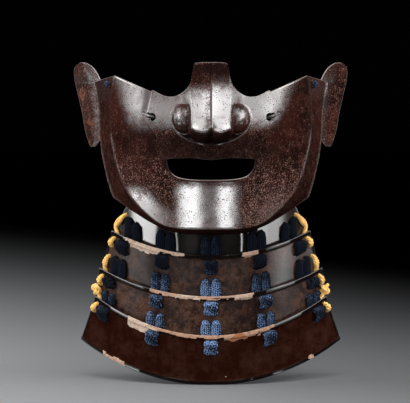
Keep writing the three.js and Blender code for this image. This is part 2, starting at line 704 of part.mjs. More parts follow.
// Holes that a lame needs for its lacing
function lameHoles(index) {
  const lame = LAMES[index];
  const holes = [];
  const put = (angle, drop, wide) => {
    holes.push(lacingHole(lame, angle, lameTop(lame, angle) - drop, wide));
  };
  lame.columns.forEach((degrees, column) => {
    if (index < LAMES.length - 1) {
      const angle = pairAngle(index, column);
      for (const side of [-1, 1]) {
        put(angle + (side * PAIR.side) / lame.radius, pairDrop(index, angle), BRAID.squeezed + HOLE.pair);
      }
    }
    if (index > 0) {
      const angle = crossAngle(index, column);
      put(angle, CROSS.top, 2 * CROSS.side + BRAID.squeezed + HOLE.cross);
      put(angle, crossBottom(index, angle), 2 * CROSS.side + BRAID.squeezed + HOLE.cross);
    }
  });
  for (const side of [-1, 1]) {
    const drops = [];
    if (index < LAMES.length - 1) drops.push(edgeDrop(index, side));
    if (index > 0) drops.push(CROSS.top, EDGE.low);
    for (const drop of drops) put(edgeAngle(index, side, drop), drop, EDGE.wide + HOLE.edge);
  }
  return holes;
}

function mesh(name, geometry, material) {
  const piece = new THREE.Mesh(geometry, material);
  piece.name = name;
  return piece;
}

const root = new THREE.Group();
root.name = 'face_guard';

const hookHole = drill(HOOK.holeX, HOOK.holeZ, HOOK.hole);
const rootHole = drill(HOOK.rootX, HOOK.rootZ, HOOK.wire + HOOK.clear);
const onBothSides = (tools) => [...tools, ...tools.map(mirror)];
const mainHoles = onBothSides([hookHole, rootHole, tieHole()]);
root.add(mesh('main_plate', cut(plate(mainPoints(), MASK_WALL), mainHoles), iron));
root.add(mesh('nose_plate', cut(plate(nosePoints(), MASK_WALL), onBothSides([hookHole])), iron));

for (const [side, word] of [[-1, 'left'], [1, 'right']]) {
  root.add(mesh(`nose_hook_${word}`, hookGeometry(side), wire));
  root.add(mesh(`corner_tie_${word}`, tieGeometry(side), blueBraid));
  const ear = plate(earPoints(), EAR_WALL);
  root.add(mesh(`ear_${word}`, side > 0 ? ear : mirror(ear), iron));
  const cord = join([strap(edgeStops(side), BRAID.thick), knotGeometry(side)]);
  root.add(mesh(`edge_lacing_${word}`, cord, yellowCord));
}

LAMES.forEach((lame, index) => {
  root.add(mesh(`lame_${index + 1}`, cut(plate(lamePoints(lame), LAME_WALL), lameHoles(index)), lacquer));
});

for (let column = 0; column < 5; column += 1) {
  const cords = [-1, 1].map((side) => strap(braidStops(column, side), BRAID.thick));
  root.add(mesh(`lacing_${column + 1}`, join(cords), blueBraid));
}

export default root;
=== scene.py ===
"""Looks of a half mask of russet iron with a laced throat guard of four lacquered lames.

Sizes in tables are millimetres, in the same frame as the solids: +Z up, the face looks along -Y,
and the origin is the chin seat. Meshes are made in metres.
"""
import math

import bpy
import numpy as np
from bpy.props import FloatProperty, FloatVectorProperty, IntProperty, PointerProperty
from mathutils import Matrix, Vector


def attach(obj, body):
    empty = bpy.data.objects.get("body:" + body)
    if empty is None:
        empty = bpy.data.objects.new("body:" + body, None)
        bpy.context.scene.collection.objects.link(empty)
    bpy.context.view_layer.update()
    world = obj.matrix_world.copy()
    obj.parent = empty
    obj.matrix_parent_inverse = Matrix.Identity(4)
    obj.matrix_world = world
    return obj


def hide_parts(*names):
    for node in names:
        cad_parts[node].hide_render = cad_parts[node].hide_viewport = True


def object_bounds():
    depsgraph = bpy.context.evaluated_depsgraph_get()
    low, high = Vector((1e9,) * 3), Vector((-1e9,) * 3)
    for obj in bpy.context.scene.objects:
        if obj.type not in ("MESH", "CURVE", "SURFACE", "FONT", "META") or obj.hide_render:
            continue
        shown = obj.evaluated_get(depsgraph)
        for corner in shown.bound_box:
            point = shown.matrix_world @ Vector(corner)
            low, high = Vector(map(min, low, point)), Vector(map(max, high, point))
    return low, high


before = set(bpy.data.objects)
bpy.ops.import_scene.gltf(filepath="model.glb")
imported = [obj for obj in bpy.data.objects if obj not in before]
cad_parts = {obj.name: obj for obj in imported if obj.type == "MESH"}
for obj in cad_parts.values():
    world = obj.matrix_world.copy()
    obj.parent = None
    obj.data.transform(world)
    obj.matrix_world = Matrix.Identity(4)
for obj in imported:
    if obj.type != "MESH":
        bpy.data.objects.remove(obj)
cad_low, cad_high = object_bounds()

bl_info = {
    "name": "Laced Face Guard",
    "version": (1, 0, 0),
    "blender": (4, 5, 0),
    "location": "View3D > Sidebar > Face Guard",
    "description": "Half mask of russet iron with a laced throat guard of four lames",
    "category": "Object",
}

MM = 0.001
SIDES = {"left": -1, "right": 1}


def hermite(keys, values, where):
    """Cubic through the values at their keys, each slope taken from the two neighbours."""
    keys = np.asarray(keys, float)
    values = np.asarray(values, float)
    where = np.clip(np.asarray(where, float), keys[0], keys[-1])
    last = len(keys) - 1
    ahead = np.minimum(np.arange(last + 1) + 1, last)
    behind = np.maximum(np.arange(last + 1) - 1, 0)
    wide = (slice(None),) + (None,) * (values.ndim - 1)
    slope = (values[ahead] - values[behind]) / (keys[ahead] - keys[behind])[wide]
    i = np.clip(np.searchsorted(keys, where) - 1, 0, last - 1)
    grow = (...,) + (None,) * (values.ndim - 1)
    span = (keys[i + 1] - keys[i])[grow]
    t = (where - keys[i])[grow] / span
    rise = values[i + 1] - values[i]
    start = slope[i] * span
    end = slope[i + 1] * span
    return values[i] + t * (start + t * ((3 * rise - 2 * start - end) + t * (start + end - 2 * rise)))


def smooth_step(low, high, value):
    t = np.clip((value - low) / (high - low), 0, 1)
    return t * t * (3 - 2 * t)


class Table:
    """Rows of sizes with named columns; the first column is the key that the others are read by."""

    def __init__(self, columns, rows):
        names = columns.split()
        self.key = names[0]
        self.column = {name: np.array(values, float) for name, values in zip(names, zip(*rows))}

    def __call__(self, name, where):
        return hermite(self.column[self.key], self.column[name], where)


# The back edge of the mask and all the lames turn about one upright axis
AXIS_Y = 119.0
JAW_RADIUS = 97.0
JAW_LOW = -13.5
JAW_RISE = 29.5
JAW_CORNER = 77.0

# Face: half-width of the ellipse that the cheeks follow, front line by height and depth of the cheeks
FACE_HALF = 94.0
CHIN_BOSS = {"out": 1.0, "wide": 24.0, "tall": 60.0, "z": 4.0}
PROFILE = Table("z front depth", [
    (-14, 3.6, 93), (-9, -0.5, 93), (-7, -0.85, 93), (-4, -0.6, 93), (4, 0, 92.5), (14, 0.73, 92),
    (20, 1.2, 91), (25, 1.65, 90), (29, 2.15, 90), (44, 4.5, 88), (56, 6.3, 86), (66, 8.2, 84.5),
    (72, 9.8, 83.5), (80, 12.4, 81.5), (90, 15.9, 79), (100, 19.4, 76), (110, 22.5, 74), (118, 24.5, 72),
])

# Main plate from the chin's middle up to the temple: opening, jaw crease and back edge
MAIN = Table("row open_x open_z fold_x fold_z edge_x edge_z", [
    (0, 0, 28.2, 0, -8, 0, -13.5),
    (1, 17, 28.8, 22, -7.8, 23, -12.7),
    (2, 27, 31, 37.5, -4.5, 40, -7.8),
    (3, 32, 36, 50.5, 5, 55.5, 0.3),
    (4, 33.2, 39.5, 60, 14.8, 70.2, 9.4),
    (5, 33.8, 42, 64, 20.5, 75.9, 13.4),
    (6, 34.1, 45, 66.4, 25.5, 78.9, 20.5),
    (7, 34.5, 50, 70, 34, 82, 31),
    (8, 36, 60, 74.5, 50, 85.6, 48),
    (9, 37, 70, 77.5, 68, 87.5, 65),
    (10, 38, 81, 77, 88, 88.5, 85),
    (11, 39.5, 92.3, 74.5, 107, 89, 101),
])
MAIN_STEPS = {"half": 190, "flange": 12, "cheek": 58}

# Row of the jaw corner, from which the back edge and the crease only rise
CORNER_ROW = 5

# Temple corner that the flange widens to, and the turned lip of the mouth
FLARE = {"out": 3.4, "up": 1.2, "low": 80.0, "high": 102.0}
LIP = {"out": 0.35, "turn": 1.6, "top": 38.0, "fade": 6.0}

# Nose: how far the ridge stands out of the face by height, and its half-width
NOSE = Table("z ridge half", [
    (54.5, 0, 13.6), (56, 4, 13.8), (58, 11, 14), (60, 17.5, 14.3), (62, 22, 14.4), (64, 23.8, 14.5),
    (66, 23.4, 14.6), (70, 21, 14.6), (75, 18.1, 14.6), (80, 15.4, 14.5), (85, 12.9, 14.4),
    (90, 10.7, 14.3), (96, 8.5, 14), (100, 7.4, 13.8), (104, 6.7, 13.6), (110, 6.3, 13.6), (118, 6.4, 13.6),
])

# Its flat front, the two lobes of its tip, the groove, the wings, the fold line and the nostrils
CROWN = {"fall": 0.15, "flat": 1.5, "edge": 0.97, "steep": 0.20, "wide": 0.50, "low": 76.0, "high": 98.0}
TIP = {"lift": 2.8, "x": 7.0, "low": 66.0, "high": 78.0, "z": 65.6}
GROOVE = {"deep": 0.7, "wide": 0.6, "top": 111.0, "fade": 6.0, "low": (56, 60)}
CLEFT = {"deep": 2.2, "wide": 2.4 * GROOVE["wide"], "z": 63.0, "tall": 4.0}
WING = {"x": 20.2, "z": 75.0, "wide": 9.2, "tall": 11.2, "out": 9.6}
FOLD_LINE = {"wide": 0.65, "out": 0.3, "half": 30.2, "low": 20.0, "high": 11.6, "side": (19, 27),
             "end": (0.0, -3.0)}
FOLD_SUNK = {"deep": 0.35, "inside": (-0.6, -2.0), "top": (80, 74), "free": (2.0, 0.0)}
NOSTRIL = {"x": 12.5, "z": 60.0, "wide": 5.5, "tall": 3.0, "deep": 7.0}
NOSE_WALL = {"inner": (0.98, 1.1), "outer": (1.9, 1.5), "low": (80, 86)}

# Nose plate: its height over the cheeks, the half-width that keeps its columns upright, and its outline
NOSE_LIFT = 2.6
NOSE_FREE = 29.0
NOSE_WIDE = 48.5
NOSE_STEPS = {"across": 200, "up": 124}
LIP_LINE = Table("x z", [(0, 44.5), (8, 45.3), (15, 46), (26, 45.6), (48, 44.5)])
EYE_LINE = Table("x z", [
    (0, 117), (10, 116.6), (13, 115), (14.2, 109), (15.2, 103), (17.5, 98.5), (21.5, 94.4),
    (26.5, 91.6), (32, 91), (38, 92), (48, 95.8),
])
SIDE_LINE = Table("z x", [
    (44, 35.4), (50, 37), (56, 38.4), (63, 41.6), (70, 46.2), (76, 48.5), (82, 47.8), (95, 44.8),
])

# Hooks of the nose plate: wire from the cheek into a round hole of the nose plate
HOOK = {"wire": 2.0, "root": 2.8, "root_x": 51.5, "root_z": 78.6, "hole": 6.4, "hole_x": 43.8, "hole_z": 75.8,
        "slot": 4.6, "slot_x": 46.8, "slot_z": 77.0}
HOOK_PATH = [
    ("root", -1.4, 3.2, 0.0), ("root", 0.0, 0.0, 0.0), ("root", -0.6, -3.3, -0.3),
    ("hole", 2.6, -2.3, 0.8), ("hole", 0.0, -0.8, 0.0), ("hole", -0.2, 1.2, -0.1),
]
HOOK_STEPS = 48

# Cord stubs in the temple holes
# its last two values are the cord's fade and its constant share of painted light
TIE = {"x": 79.4, "z": 101.0, "hole": 4.8, "reach": 2.3, "lift": 1.2, "depth": 4.2, "plies": 3, "pitch": 3.4,
       "ply": 0.5, "knot": 0.42, "neck": 0.8, "fade_and_shade": 0.4, "top": 0.8}
TIE_STEPS = 24

# Ears by height: front edge and outer edge, swept back from the cheek and a little hollow
EAR_SWEEP = 0.7
EAR_BACK = 1.6
EAR_DISH = 0.6
EAR = Table("z front outer", [
    (52.5, 91.5, 94.8), (56.5, 88.5, 96.4), (65, 85.5, 99), (80, 84.5, 101.8), (94.5, 85, 105.3),
    (104, 87.5, 107.4), (111, 91, 108), (115, 94.5, 107), (117.6, 99, 103.5),
])
EAR_STEPS = {"up": 110, "across": 34}

# Lames: heights at the front, radius, flare, half-angle, rise and draw of the ends, and angles of the lacing
LAMES = [
    {"top": -8.5, "bottom": -38.0, "radius": 96.1, "flare": 0.03, "top_end": 42.0, "bottom_end": 53.0,
     "top_rise": 0.0, "bottom_rise": 16.6, "draw": 2.8, "columns": (-36.8, -21, 0, 21, 36.8)},
    {"top": -29.1, "bottom": -69.0, "radius": 102.0, "flare": 0.04, "top_end": 48.2, "bottom_end": 55.5,
     "top_rise": 16.6, "bottom_rise": 20.0, "draw": 0.0, "columns": (-41.3, -21, 0, 21, 41.3)},
    {"top": -60.0, "bottom": -98.0, "radius": 107.8, "flare": 0.04, "top_end": 52.5, "bottom_end": 56.0,
     "top_rise": 18.4, "bottom_rise": 26.0, "draw": 0.0, "columns": (-45.8, -22.3, 0, 22.3, 45.8)},
    {"top": -89.0, "bottom": -125.5, "radius": 113.6, "flare": 0.08, "top_end": 51.1, "bottom_end": 59.3,
     "top_rise": 26.0, "bottom_rise": 28.0, "draw": 0.0, "columns": (-45.8, -22.7, 0, 22.7, 45.8)},
]
LAST_LAME = len(LAMES) - 1
LAME_WALL = 1.4
LAME_EDGE = 0.4
LAME_DENTS = {"deep": 0.07, "apart": 24.0}
TUCK = 5.0

# Turned rims of the lames, and the steps of a lame's grid: close at its edges, even between them
RIM = {"wide": 2.4, "out": 1.1, "slope": 0.9}
SIDE_RIM = {"wide": 1.5, "out": 0.7, "slope": 0.8}
EDGE_ROWS = (0.0, 0.35, 0.8, 1.3, 1.8, 2.2, 2.5, 2.8, 3.1, 3.5, 4.0, 4.6)
LAME_STEP = 0.72

# Worn stretches of the lames: lame, edge, from and to across the front, depth, tone from pale to orange
WORN = [
    (2, "top", -65, -20, 2.3, 0.15),
    (2, "top", -61, -39, 5.6, 0.0),
    (2, "top", 24, 37, 3.2, 0.35),
    (3, "top", -47, 32, 2.0, 0.5),
    (3, "top", -27, -8, 2.9, 0.0),
    (3, "top", 17, 32, 4.3, 0.1),
    (4, "top", -64, -41, 7.0, 0.0),
    (4, "top", -60, 49, 2.3, 0.6),
    (4, "top", 9, 37, 4.0, 0.6),
    (4, "top", 14, 28, 4.8, 1.0),
    (4, "bottom", -83, -66, 3.0, 0.4),
    (4, "bottom", 75, 79, 2.6, 0.5),
]

# Added to the worn distance, so that its mark is never negative
WORN_BASE = 9.0

# Lacing: sideways shifts, drops below a lame's top edge, and levels off its face
BRAID = {"wide": 7.8, "thick": 2.6, "squeezed": 3.4, "crossing": 10.6, "ends": 7.4}
PAIR = {"side": 3.85, "length": 12.3, "drift": 0.4, "head": 1.2, "shoulder": 2.2, "swell": 3.0, "foot": 1.0,
        "below": 5.9}
CROSS = {"side": 1.9, "top": 4.8, "bottom": 13.0, "share": 0.45, "over": 1.5, "tail": 2.5}
DIVE = 0.8
GAP = 0.35
FRONT = GAP + BRAID["thick"] / 2
LOW = GAP + 1.0
BACK = -LAME_WALL - 2 * GAP - BRAID["thick"] / 2
HOLE = {"tall": 2.8, "deep": 9.0, "pair": 0.6, "cross": 0.6, "edge": 0.6}
EDGE = {"inset": 3.8, "wide": 5.4, "thick": 1.6, "out": 2.6, "squeezed": 2.8, "first": 15.0, "stitch": 11.0,
        "low": 11.4, "below": 17.0, "tail": 1.0, "strands": 4}
KNOT = {"lame": 2, "reach": 3.6, "shift": 2.2, "drop": 16.0, "tall": 3.2, "out": 2.4, "plies": 3,
        "pitch": 4.6, "ply": 0.62}
CORD_STEP = 0.42


def face(x, z):
    """Depth of the face's outer skin at a spot of the front view."""
    share = np.minimum(np.abs(x) / FACE_HALF, 0.98)
    hollow = PROFILE("depth", z) * (1 - np.sqrt(1 - share**2))
    boss = np.exp(-((x / CHIN_BOSS["wide"]) ** 2) - ((z - CHIN_BOSS["z"]) / CHIN_BOSS["tall"]) ** 2)
    return PROFILE("front", z) + hollow - CHIN_BOSS["out"] * boss


def jaw_y(x):
    return AXIS_Y - np.sqrt(JAW_RADIUS**2 - x**2)


def unevenness(points, seed, wave):
    """Smooth hammered bumps, about -1 to 1, from a few plane waves."""
    waves = 26
    rng = np.random.default_rng(seed)
    total = np.zeros(points.shape[:-1])
    for _ in range(waves):
        direction = rng.normal(size=3)
        direction /= np.linalg.norm(direction)
        length = wave * rng.uniform(0.6, 1.8)
        total += np.sin(points @ direction * 2 * math.pi / length + rng.uniform(0, 2 * math.pi))
    return total / math.sqrt(waves)


def unit(vectors):
    return vectors / np.maximum(np.linalg.norm(vectors, axis=-1, keepdims=True), 1e-9)


def grid_normals(points):
    """Outward normals of a grid whose first index runs to the right and second upwards."""
    return unit(np.cross(np.gradient(points, axis=0), np.gradient(points, axis=1)))


def plate(name, points, wall, bulge, marks, inside=None):
    """Closed plate from a grid of outer points, its wall grown inwards and all its edges rounded.

    marks holds values of the surface by name, one for each grid point; inside names those that the
    inner skin has instead."""
    rings = 3
    across, up = points.shape[:2]
    normal = grid_normals(points)
    number = np.arange(across * up).reshape(across, up)
    loop = np.concatenate([number[:-1, 0], number[-1, :-1], number[:0:-1, -1], number[0, :0:-1]])
    outward = np.zeros_like(points)
    outward[:, 0] += points[:, 0] - points[:, 1]
    outward[:, -1] += points[:, -1] - points[:, -2]
    outward[0] += points[0] - points[1]
    outward[-1] += points[-1] - points[-2]
    skin = points.reshape(-1, 3)
    normal = normal.reshape(-1, 3)
    rim_out = unit(outward.reshape(-1, 3)[loop])
    rim_normal = normal[loop]
    rim_out = unit(rim_out - rim_normal * np.sum(rim_out * rim_normal, axis=1, keepdims=True))
    middle = skin[loop] - rim_normal * wall / 2
    places = [skin, skin - wall * normal]
    for k in range(1, rings + 1):
        turn = math.pi * k / (rings + 1)
        places.append(middle + rim_normal * wall / 2 * math.cos(turn) + rim_out * bulge * math.sin(turn))
    a = number[:-1, :-1].ravel()
    b = number[1:, :-1].ravel()
    c = number[1:, 1:].ravel()
    d = number[:-1, 1:].ravel()
    back = across * up
    faces = [np.stack([a, b, c, d], 1), np.stack([a, d, c, b], 1) + back]
    lines = [loop] + [2 * back + k * len(loop) + np.arange(len(loop)) for k in range(rings)] + [loop + back]
    for first, second in zip(lines, lines[1:]):
        faces.append(np.stack([np.roll(first, -1), first, second, np.roll(second, -1)], 1))
    rim = np.concatenate([np.zeros(2 * back), np.ones(rings * len(loop))])
    values = {"rim": rim}
    for word, mark in marks.items():
        flat = np.asarray(mark, float).reshape(-1)
        inner = np.full(flat.shape, inside[word]) if inside and word in inside else flat
        values[word] = np.concatenate([flat, inner] + [flat[loop]] * rings)
    return mesh_object(name, np.concatenate(places), np.concatenate(faces), values)


def mesh_object(name, places, faces, marks=None, edges=()):
    """Object at the origin from points in millimetres, with values of its points by name."""
    mesh = bpy.data.meshes.new(name)
    mesh.from_pydata((np.asarray(places) * MM).tolist(), list(edges), np.asarray(faces).tolist())
    for word, values in (marks or {}).items():
        values = np.asarray(values, np.float32)
        kind = "FLOAT_VECTOR" if values.ndim == 2 else "FLOAT"
        field = "vector" if values.ndim == 2 else "value"
        mesh.attributes.new(word, kind, "POINT").data.foreach_set(field, values.ravel())
    mesh.shade_smooth()
    piece = bpy.data.objects.new(name, mesh)
    bpy.context.scene.collection.objects.link(piece)
    return piece


def settle(piece):
    """Makes the result of an object's modifiers its plain mesh."""
    evaluated = piece.evaluated_get(bpy.context.evaluated_depsgraph_get())
    made = bpy.data.meshes.new_from_object(evaluated)
    old = piece.data
    piece.modifiers.clear()
    piece.data = made
    bpy.data.meshes.remove(old)
    return piece


def cut_holes(piece, cutter):
    """Cuts the closed bodies of one object out of another."""
    cut = piece.modifiers.new("holes", "BOOLEAN")
    cut.operation = "DIFFERENCE"
    cut.solver = "MANIFOLD"
    cut.object = cutter
    settle(piece)
    bpy.data.objects.remove(cutter)
    return piece


def finished(piece, material, slot, *nodes):
    """Hands a finished piece to the frame in place of its solids."""
    piece.data.materials.clear()
    piece.data.materials.append(material)
    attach(piece, "root")
    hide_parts(*nodes)
    return piece


class Link:
    """A node's output; sums and products of links add Math nodes."""

    def __init__(self, nodes, socket):
        self.nodes = nodes
        self.socket = socket

    def _math(self, operation, first, second):
        return self.nodes.add("ShaderNodeMath", {"operation": operation}, {0: first, 1: second})

    def __add__(self, other):
        return self._math("ADD", self, other)

    def __radd__(self, other):
        return self._math("ADD", other, self)

    def __sub__(self, other):
        return self._math("SUBTRACT", self, other)

    def __rsub__(self, other):
        return self._math("SUBTRACT", other, self)

    def __mul__(self, other):
        return self._math("MULTIPLY", self, other)

    def __rmul__(self, other):
        return self._math("MULTIPLY", other, self)

    def most(self, other):
        return self._math("MAXIMUM", self, other)

    def step(self, low, high):
        """0 below low, 1 above high, and smooth between them."""
        settings = {"interpolation_type": "SMOOTHSTEP"}
        return self.nodes.add("ShaderNodeMapRange", settings, {0: self, 1: low, 2: high})


class Nodes:
    """A node tree that is filled one node at a time."""

    def __init__(self, tree):
        self.tree = tree

    def add(self, kind, settings=None, sockets=None, out=0):
        node = self.tree.nodes.new(kind)
        for name, value in (settings or {}).items():
            setattr(node, name, value)
        for key, value in (sockets or {}).items():
            if isinstance(value, Link):
                self.tree.links.new(value.socket, node.inputs[key])
            else:
                node.inputs[key].default_value = value
        return Link(self, node.outputs[out]) if len(node.outputs) else None

    def place(self):
        return self.add("ShaderNodeTexCoord", out="Object")

    def mark(self, name):
        return self.add("ShaderNodeAttribute", {"attribute_name": name}, out="Fac")

    def noise(self, place, scale, detail=3.0, roughness=0.55):
        sockets = {"Vector": place, "Scale": scale, "Detail": detail, "Roughness": roughness}
        return self.add("ShaderNodeTexNoise", None, sockets)

    def cells(self, place, scale, out="Distance"):
        return self.add("ShaderNodeTexVoronoi", None, {"Vector": place, "Scale": scale}, out)

    def mix(self, share, first, second):
        return self.add("ShaderNodeMix", {"data_type": "RGBA"}, {0: share, 6: first, 7: second}, 2)

    def stretched(self, place, scale):
        return self.add("ShaderNodeMapping", None, {"Vector": place, "Scale": scale})

    def bump(self, height, distance, strength=1.0):
        sockets = {"Height": height, "Distance": distance, "Strength": strength}
        return self.add("ShaderNodeBump", None, sockets)


def new_material(name, paint):
    """Material from what paint gives: the sockets of one Principled shader, and how much of it is matte."""
    material = bpy.data.materials.new(name)
    material.use_nodes = True
    material.node_tree.nodes.clear()
    nodes = Nodes(material.node_tree)
    sockets = paint(nodes)
    matte = sockets.pop("Matte", None)
    surface = nodes.add("ShaderNodeBsdfPrincipled", None, sockets)
    if matte:
        plain = {"Base Color": sockets["Base Color"], "Roughness": 1.0, "Specular IOR Level": 0.0}
        dry = nodes.add("ShaderNodeBsdfPrincipled", None, plain)
        surface = nodes.add("ShaderNodeMixShader", None, {0: matte, 1: surface, 2: dry})
    nodes.add("ShaderNodeOutputMaterial", None, {"Surface": surface})
    return material


def colour(values):
    return (*values, 1.0)


def kept_material(name, paint):
    return bpy.data.materials.get(name) or new_material(name, paint)


def russet_iron():
    """Brown rusted iron: mottled, finely pitted, with pale specks and bright worn edges, and painted shade
    where a mark darkens it.
    """
    tint = bpy.context.scene.face_guard.finish

    def paint(nodes):
        place = nodes.place()
        broad = nodes.noise(place, 38.0, 3.0).step(0.32, 0.68)
        mottle = nodes.noise(place, 210.0, 4.0, 0.6)
        grain = nodes.noise(place, 640.0, 3.0, 0.6)
        fine = nodes.noise(place, 2200.0, 2.0)
        dust = nodes.noise(place, 1150.0, 2.0, 0.6)
        specks = (dust * 0.9 + mottle * 0.22 + nodes.mark("fleck") * 0.075).step(0.64, 0.86)
        pits = 1.0 - nodes.cells(place, 560.0).step(0.16, 0.36)
        pits = pits * nodes.noise(place, 170.0, 2.0).step(0.47, 0.58)
        # painted shade: this mark darkens recesses, the step beside the nose plate and the underside of the
        # nose, and a few other spots
        shade_and_darkening = nodes.mark("shade_and_darkening")
        rust = nodes.mark("rust")
        rust = rust + (dust - 0.5 + (mottle - 0.5) * 0.8) * (rust - rust * rust) * 9.0
        rim = nodes.mark("rim").most(nodes.mark("crease") * grain.step(0.40, 0.60)) * (1.0 - shade_and_darkening)
        patches = nodes.mark("patch") * nodes.noise(place, 150.0, 4.0, 0.65).step(0.50, 0.64)
        base = nodes.mix(broad, colour(tint.iron_dark), colour(tint.iron_red))
        base = nodes.mix(mottle.step(0.42, 0.72) * 0.6, base, colour(tint.iron_light))
        base = nodes.mix(patches * 0.8, base, colour(tint.iron_orange))
        base = nodes.mix(specks, base, colour(tint.iron_speck))
        base = nodes.mix(pits * 0.8, base, colour(tint.iron_pit_and_shade))
        # the dark pit colour also paints the shade
        base = nodes.mix(shade_and_darkening * 0.85, base, colour(tint.iron_pit_and_shade))
        base = nodes.mix(rim * 0.8, base, colour(tint.iron_worn))
        return {
            "Base Color": base,
            "Roughness": 0.18 + mottle * 0.06 + nodes.mark("blur") * 0.15,
            "IOR": 2.4,
            "Normal": nodes.bump(fine + grain * 0.5, 0.000018),
            "Matte": (pits * 0.85).most(shade_and_darkening).most(rust) * (1.0 - rim * 0.45),
        }

    return kept_material("russet_iron_finish", paint)


def brown_lacquer():
    """Glossy brown-black lacquer, hazy with age, chipped at the rims to its pale ground."""
    tint = bpy.context.scene.face_guard.finish

    def paint(nodes):
        place = nodes.place()
        haze = nodes.mark("haze")
        red = nodes.mark("red")
        cloud = nodes.noise(place, 55.0, 4.0, 0.62)
        fine = nodes.noise(place, 2300.0, 2.0)
        ragged = nodes.noise(place, 420.0, 4.0, 0.65)
        flake = nodes.add("ShaderNodeSeparateColor", None, {"Color": nodes.cells(place, 230.0, "Color")})
        worn = nodes.mark("worn") - WORN_BASE
        chipped = (worn + (ragged - 0.5) * 1.4 + (flake - 0.6) * 2.0).step(-0.08, 0.10)
        flecks = nodes.cells(place, 150.0)
        flecks = (1.0 - flecks.step(0.04, 0.09)) * nodes.noise(place, 45.0, 2.0).step(0.58, 0.66)
        base = nodes.mix(red, colour(tint.lacquer_black), colour(tint.lacquer_red))
        mottle = nodes.noise(place, 190.0, 4.0, 0.65)
        dusty = (cloud + (mottle - 0.5) * 0.9).step(0.34, 0.78)
        base = nodes.mix(haze * dusty, base, colour(tint.lacquer_haze))
        dust = nodes.noise(place, 700.0, 3.0, 0.6)
        dust = dust + (cloud - 0.5) * 0.5
        base = nodes.mix(dust.step(0.52, 0.74) * haze * 0.42, base, colour(tint.chip_tan))
        base = nodes.mix((1.0 - dust).step(0.50, 0.72) * haze * 0.8, base, colour(tint.lacquer_black))
        base = nodes.mix(flecks * 0.8, base, colour(tint.chip_pale))
        ground = nodes.mix(nodes.mark("tone"), colour(tint.chip_pale), colour(tint.chip_orange))
        ground = nodes.mix(ragged.step(0.46, 0.66) * 0.6, ground, colour(tint.chip_tan))
        ground = nodes.mix(fine.step(0.60, 0.72) * 0.3, ground, colour(tint.lacquer_haze))
        base = nodes.mix(chipped, base, ground)
        return {
            "Base Color": base,
            "Roughness": 0.06 + haze.step(0.0, 0.6) * 0.26,
            "IOR": 1.9,
            "Normal": nodes.bump(chipped, -0.00025),
            "Matte": (nodes.mark("dull") + (cloud - 0.5) * haze * 0.8).most(chipped),
        }

    return kept_material("brown_lacquer_finish", paint)


def indigo_braid():
    """Indigo silk, nearly black at the ends of the guard and faded in the middle columns, with painted light
    on its ply tops and painted shade in its hollows.
    """
    tint = bpy.context.scene.face_guard.finish

    def paint(nodes):
        place = nodes.place()
        fade_and_shade = nodes.mark("fade_and_shade")
        fibre = nodes.noise(nodes.stretched(place, (1.0, 1.0, 0.5)), 1000.0, 3.0, 0.6)
        cloud = nodes.noise(place, 260.0, 3.0)
        # painted light and shade: the top mark lightens the ply tops and darkens the hollows
        top = nodes.mark("top").step(0.35, 0.95)
        share = fade_and_shade * top * (0.45 + cloud * 0.7 + (fibre - 0.5) * 2.6)
        base = nodes.mix(share.step(0.10, 0.90), colour(tint.indigo_deep), colour(tint.indigo_faded))
        return {
            "Base Color": base,
            "Roughness": 0.72 + fibre * 0.15,
            "Specular IOR Level": 0.06,
            "Normal": nodes.bump(fibre, 0.00012, 0.7),
        }

    return kept_material("indigo_braid_finish", paint)


def gold_cord():
    """Yellow silk cord, warm and a little dusty in patches."""
    tint = bpy.context.scene.face_guard.finish

    def paint(nodes):
        place = nodes.place()
        fibre = nodes.noise(nodes.stretched(place, (1.0, 1.0, 0.4)), 1700.0, 3.0, 0.6)
        cloud = nodes.noise(place, 240.0, 3.0)
        share = cloud.step(0.3, 0.72) * 0.7 + fibre * 0.3
        base = nodes.mix(share, colour(tint.gold_dusty), colour(tint.gold_bright))
        return {
            "Base Color": base,
            "Roughness": 0.7 + fibre * 0.15,
            "Sheen Weight": 0.25,
            "Sheen Roughness": 0.4,
            "Normal": nodes.bump(fibre, 0.00012, 0.7),
        }

    return kept_material("gold_cord_finish", paint)


def hook_wire():
    """Dark iron wire, worn bright in patches."""
    tint = bpy.context.scene.face_guard.finish

    def paint(nodes):
        place = nodes.place()
        wear = nodes.noise(place, 480.0, 3.0).step(0.35, 0.7)
        return {
            "Base Color": nodes.mix(wear, colour(tint.wire_dark), colour(tint.wire_worn)),
            "Metallic": 0.85,
            "Roughness": 0.36 - wear * 0.16,
            "Normal": nodes.bump(nodes.noise(place, 1300.0, 2.0), 0.00008, 0.5),
        }

    return kept_material("hook_wire_finish", paint)


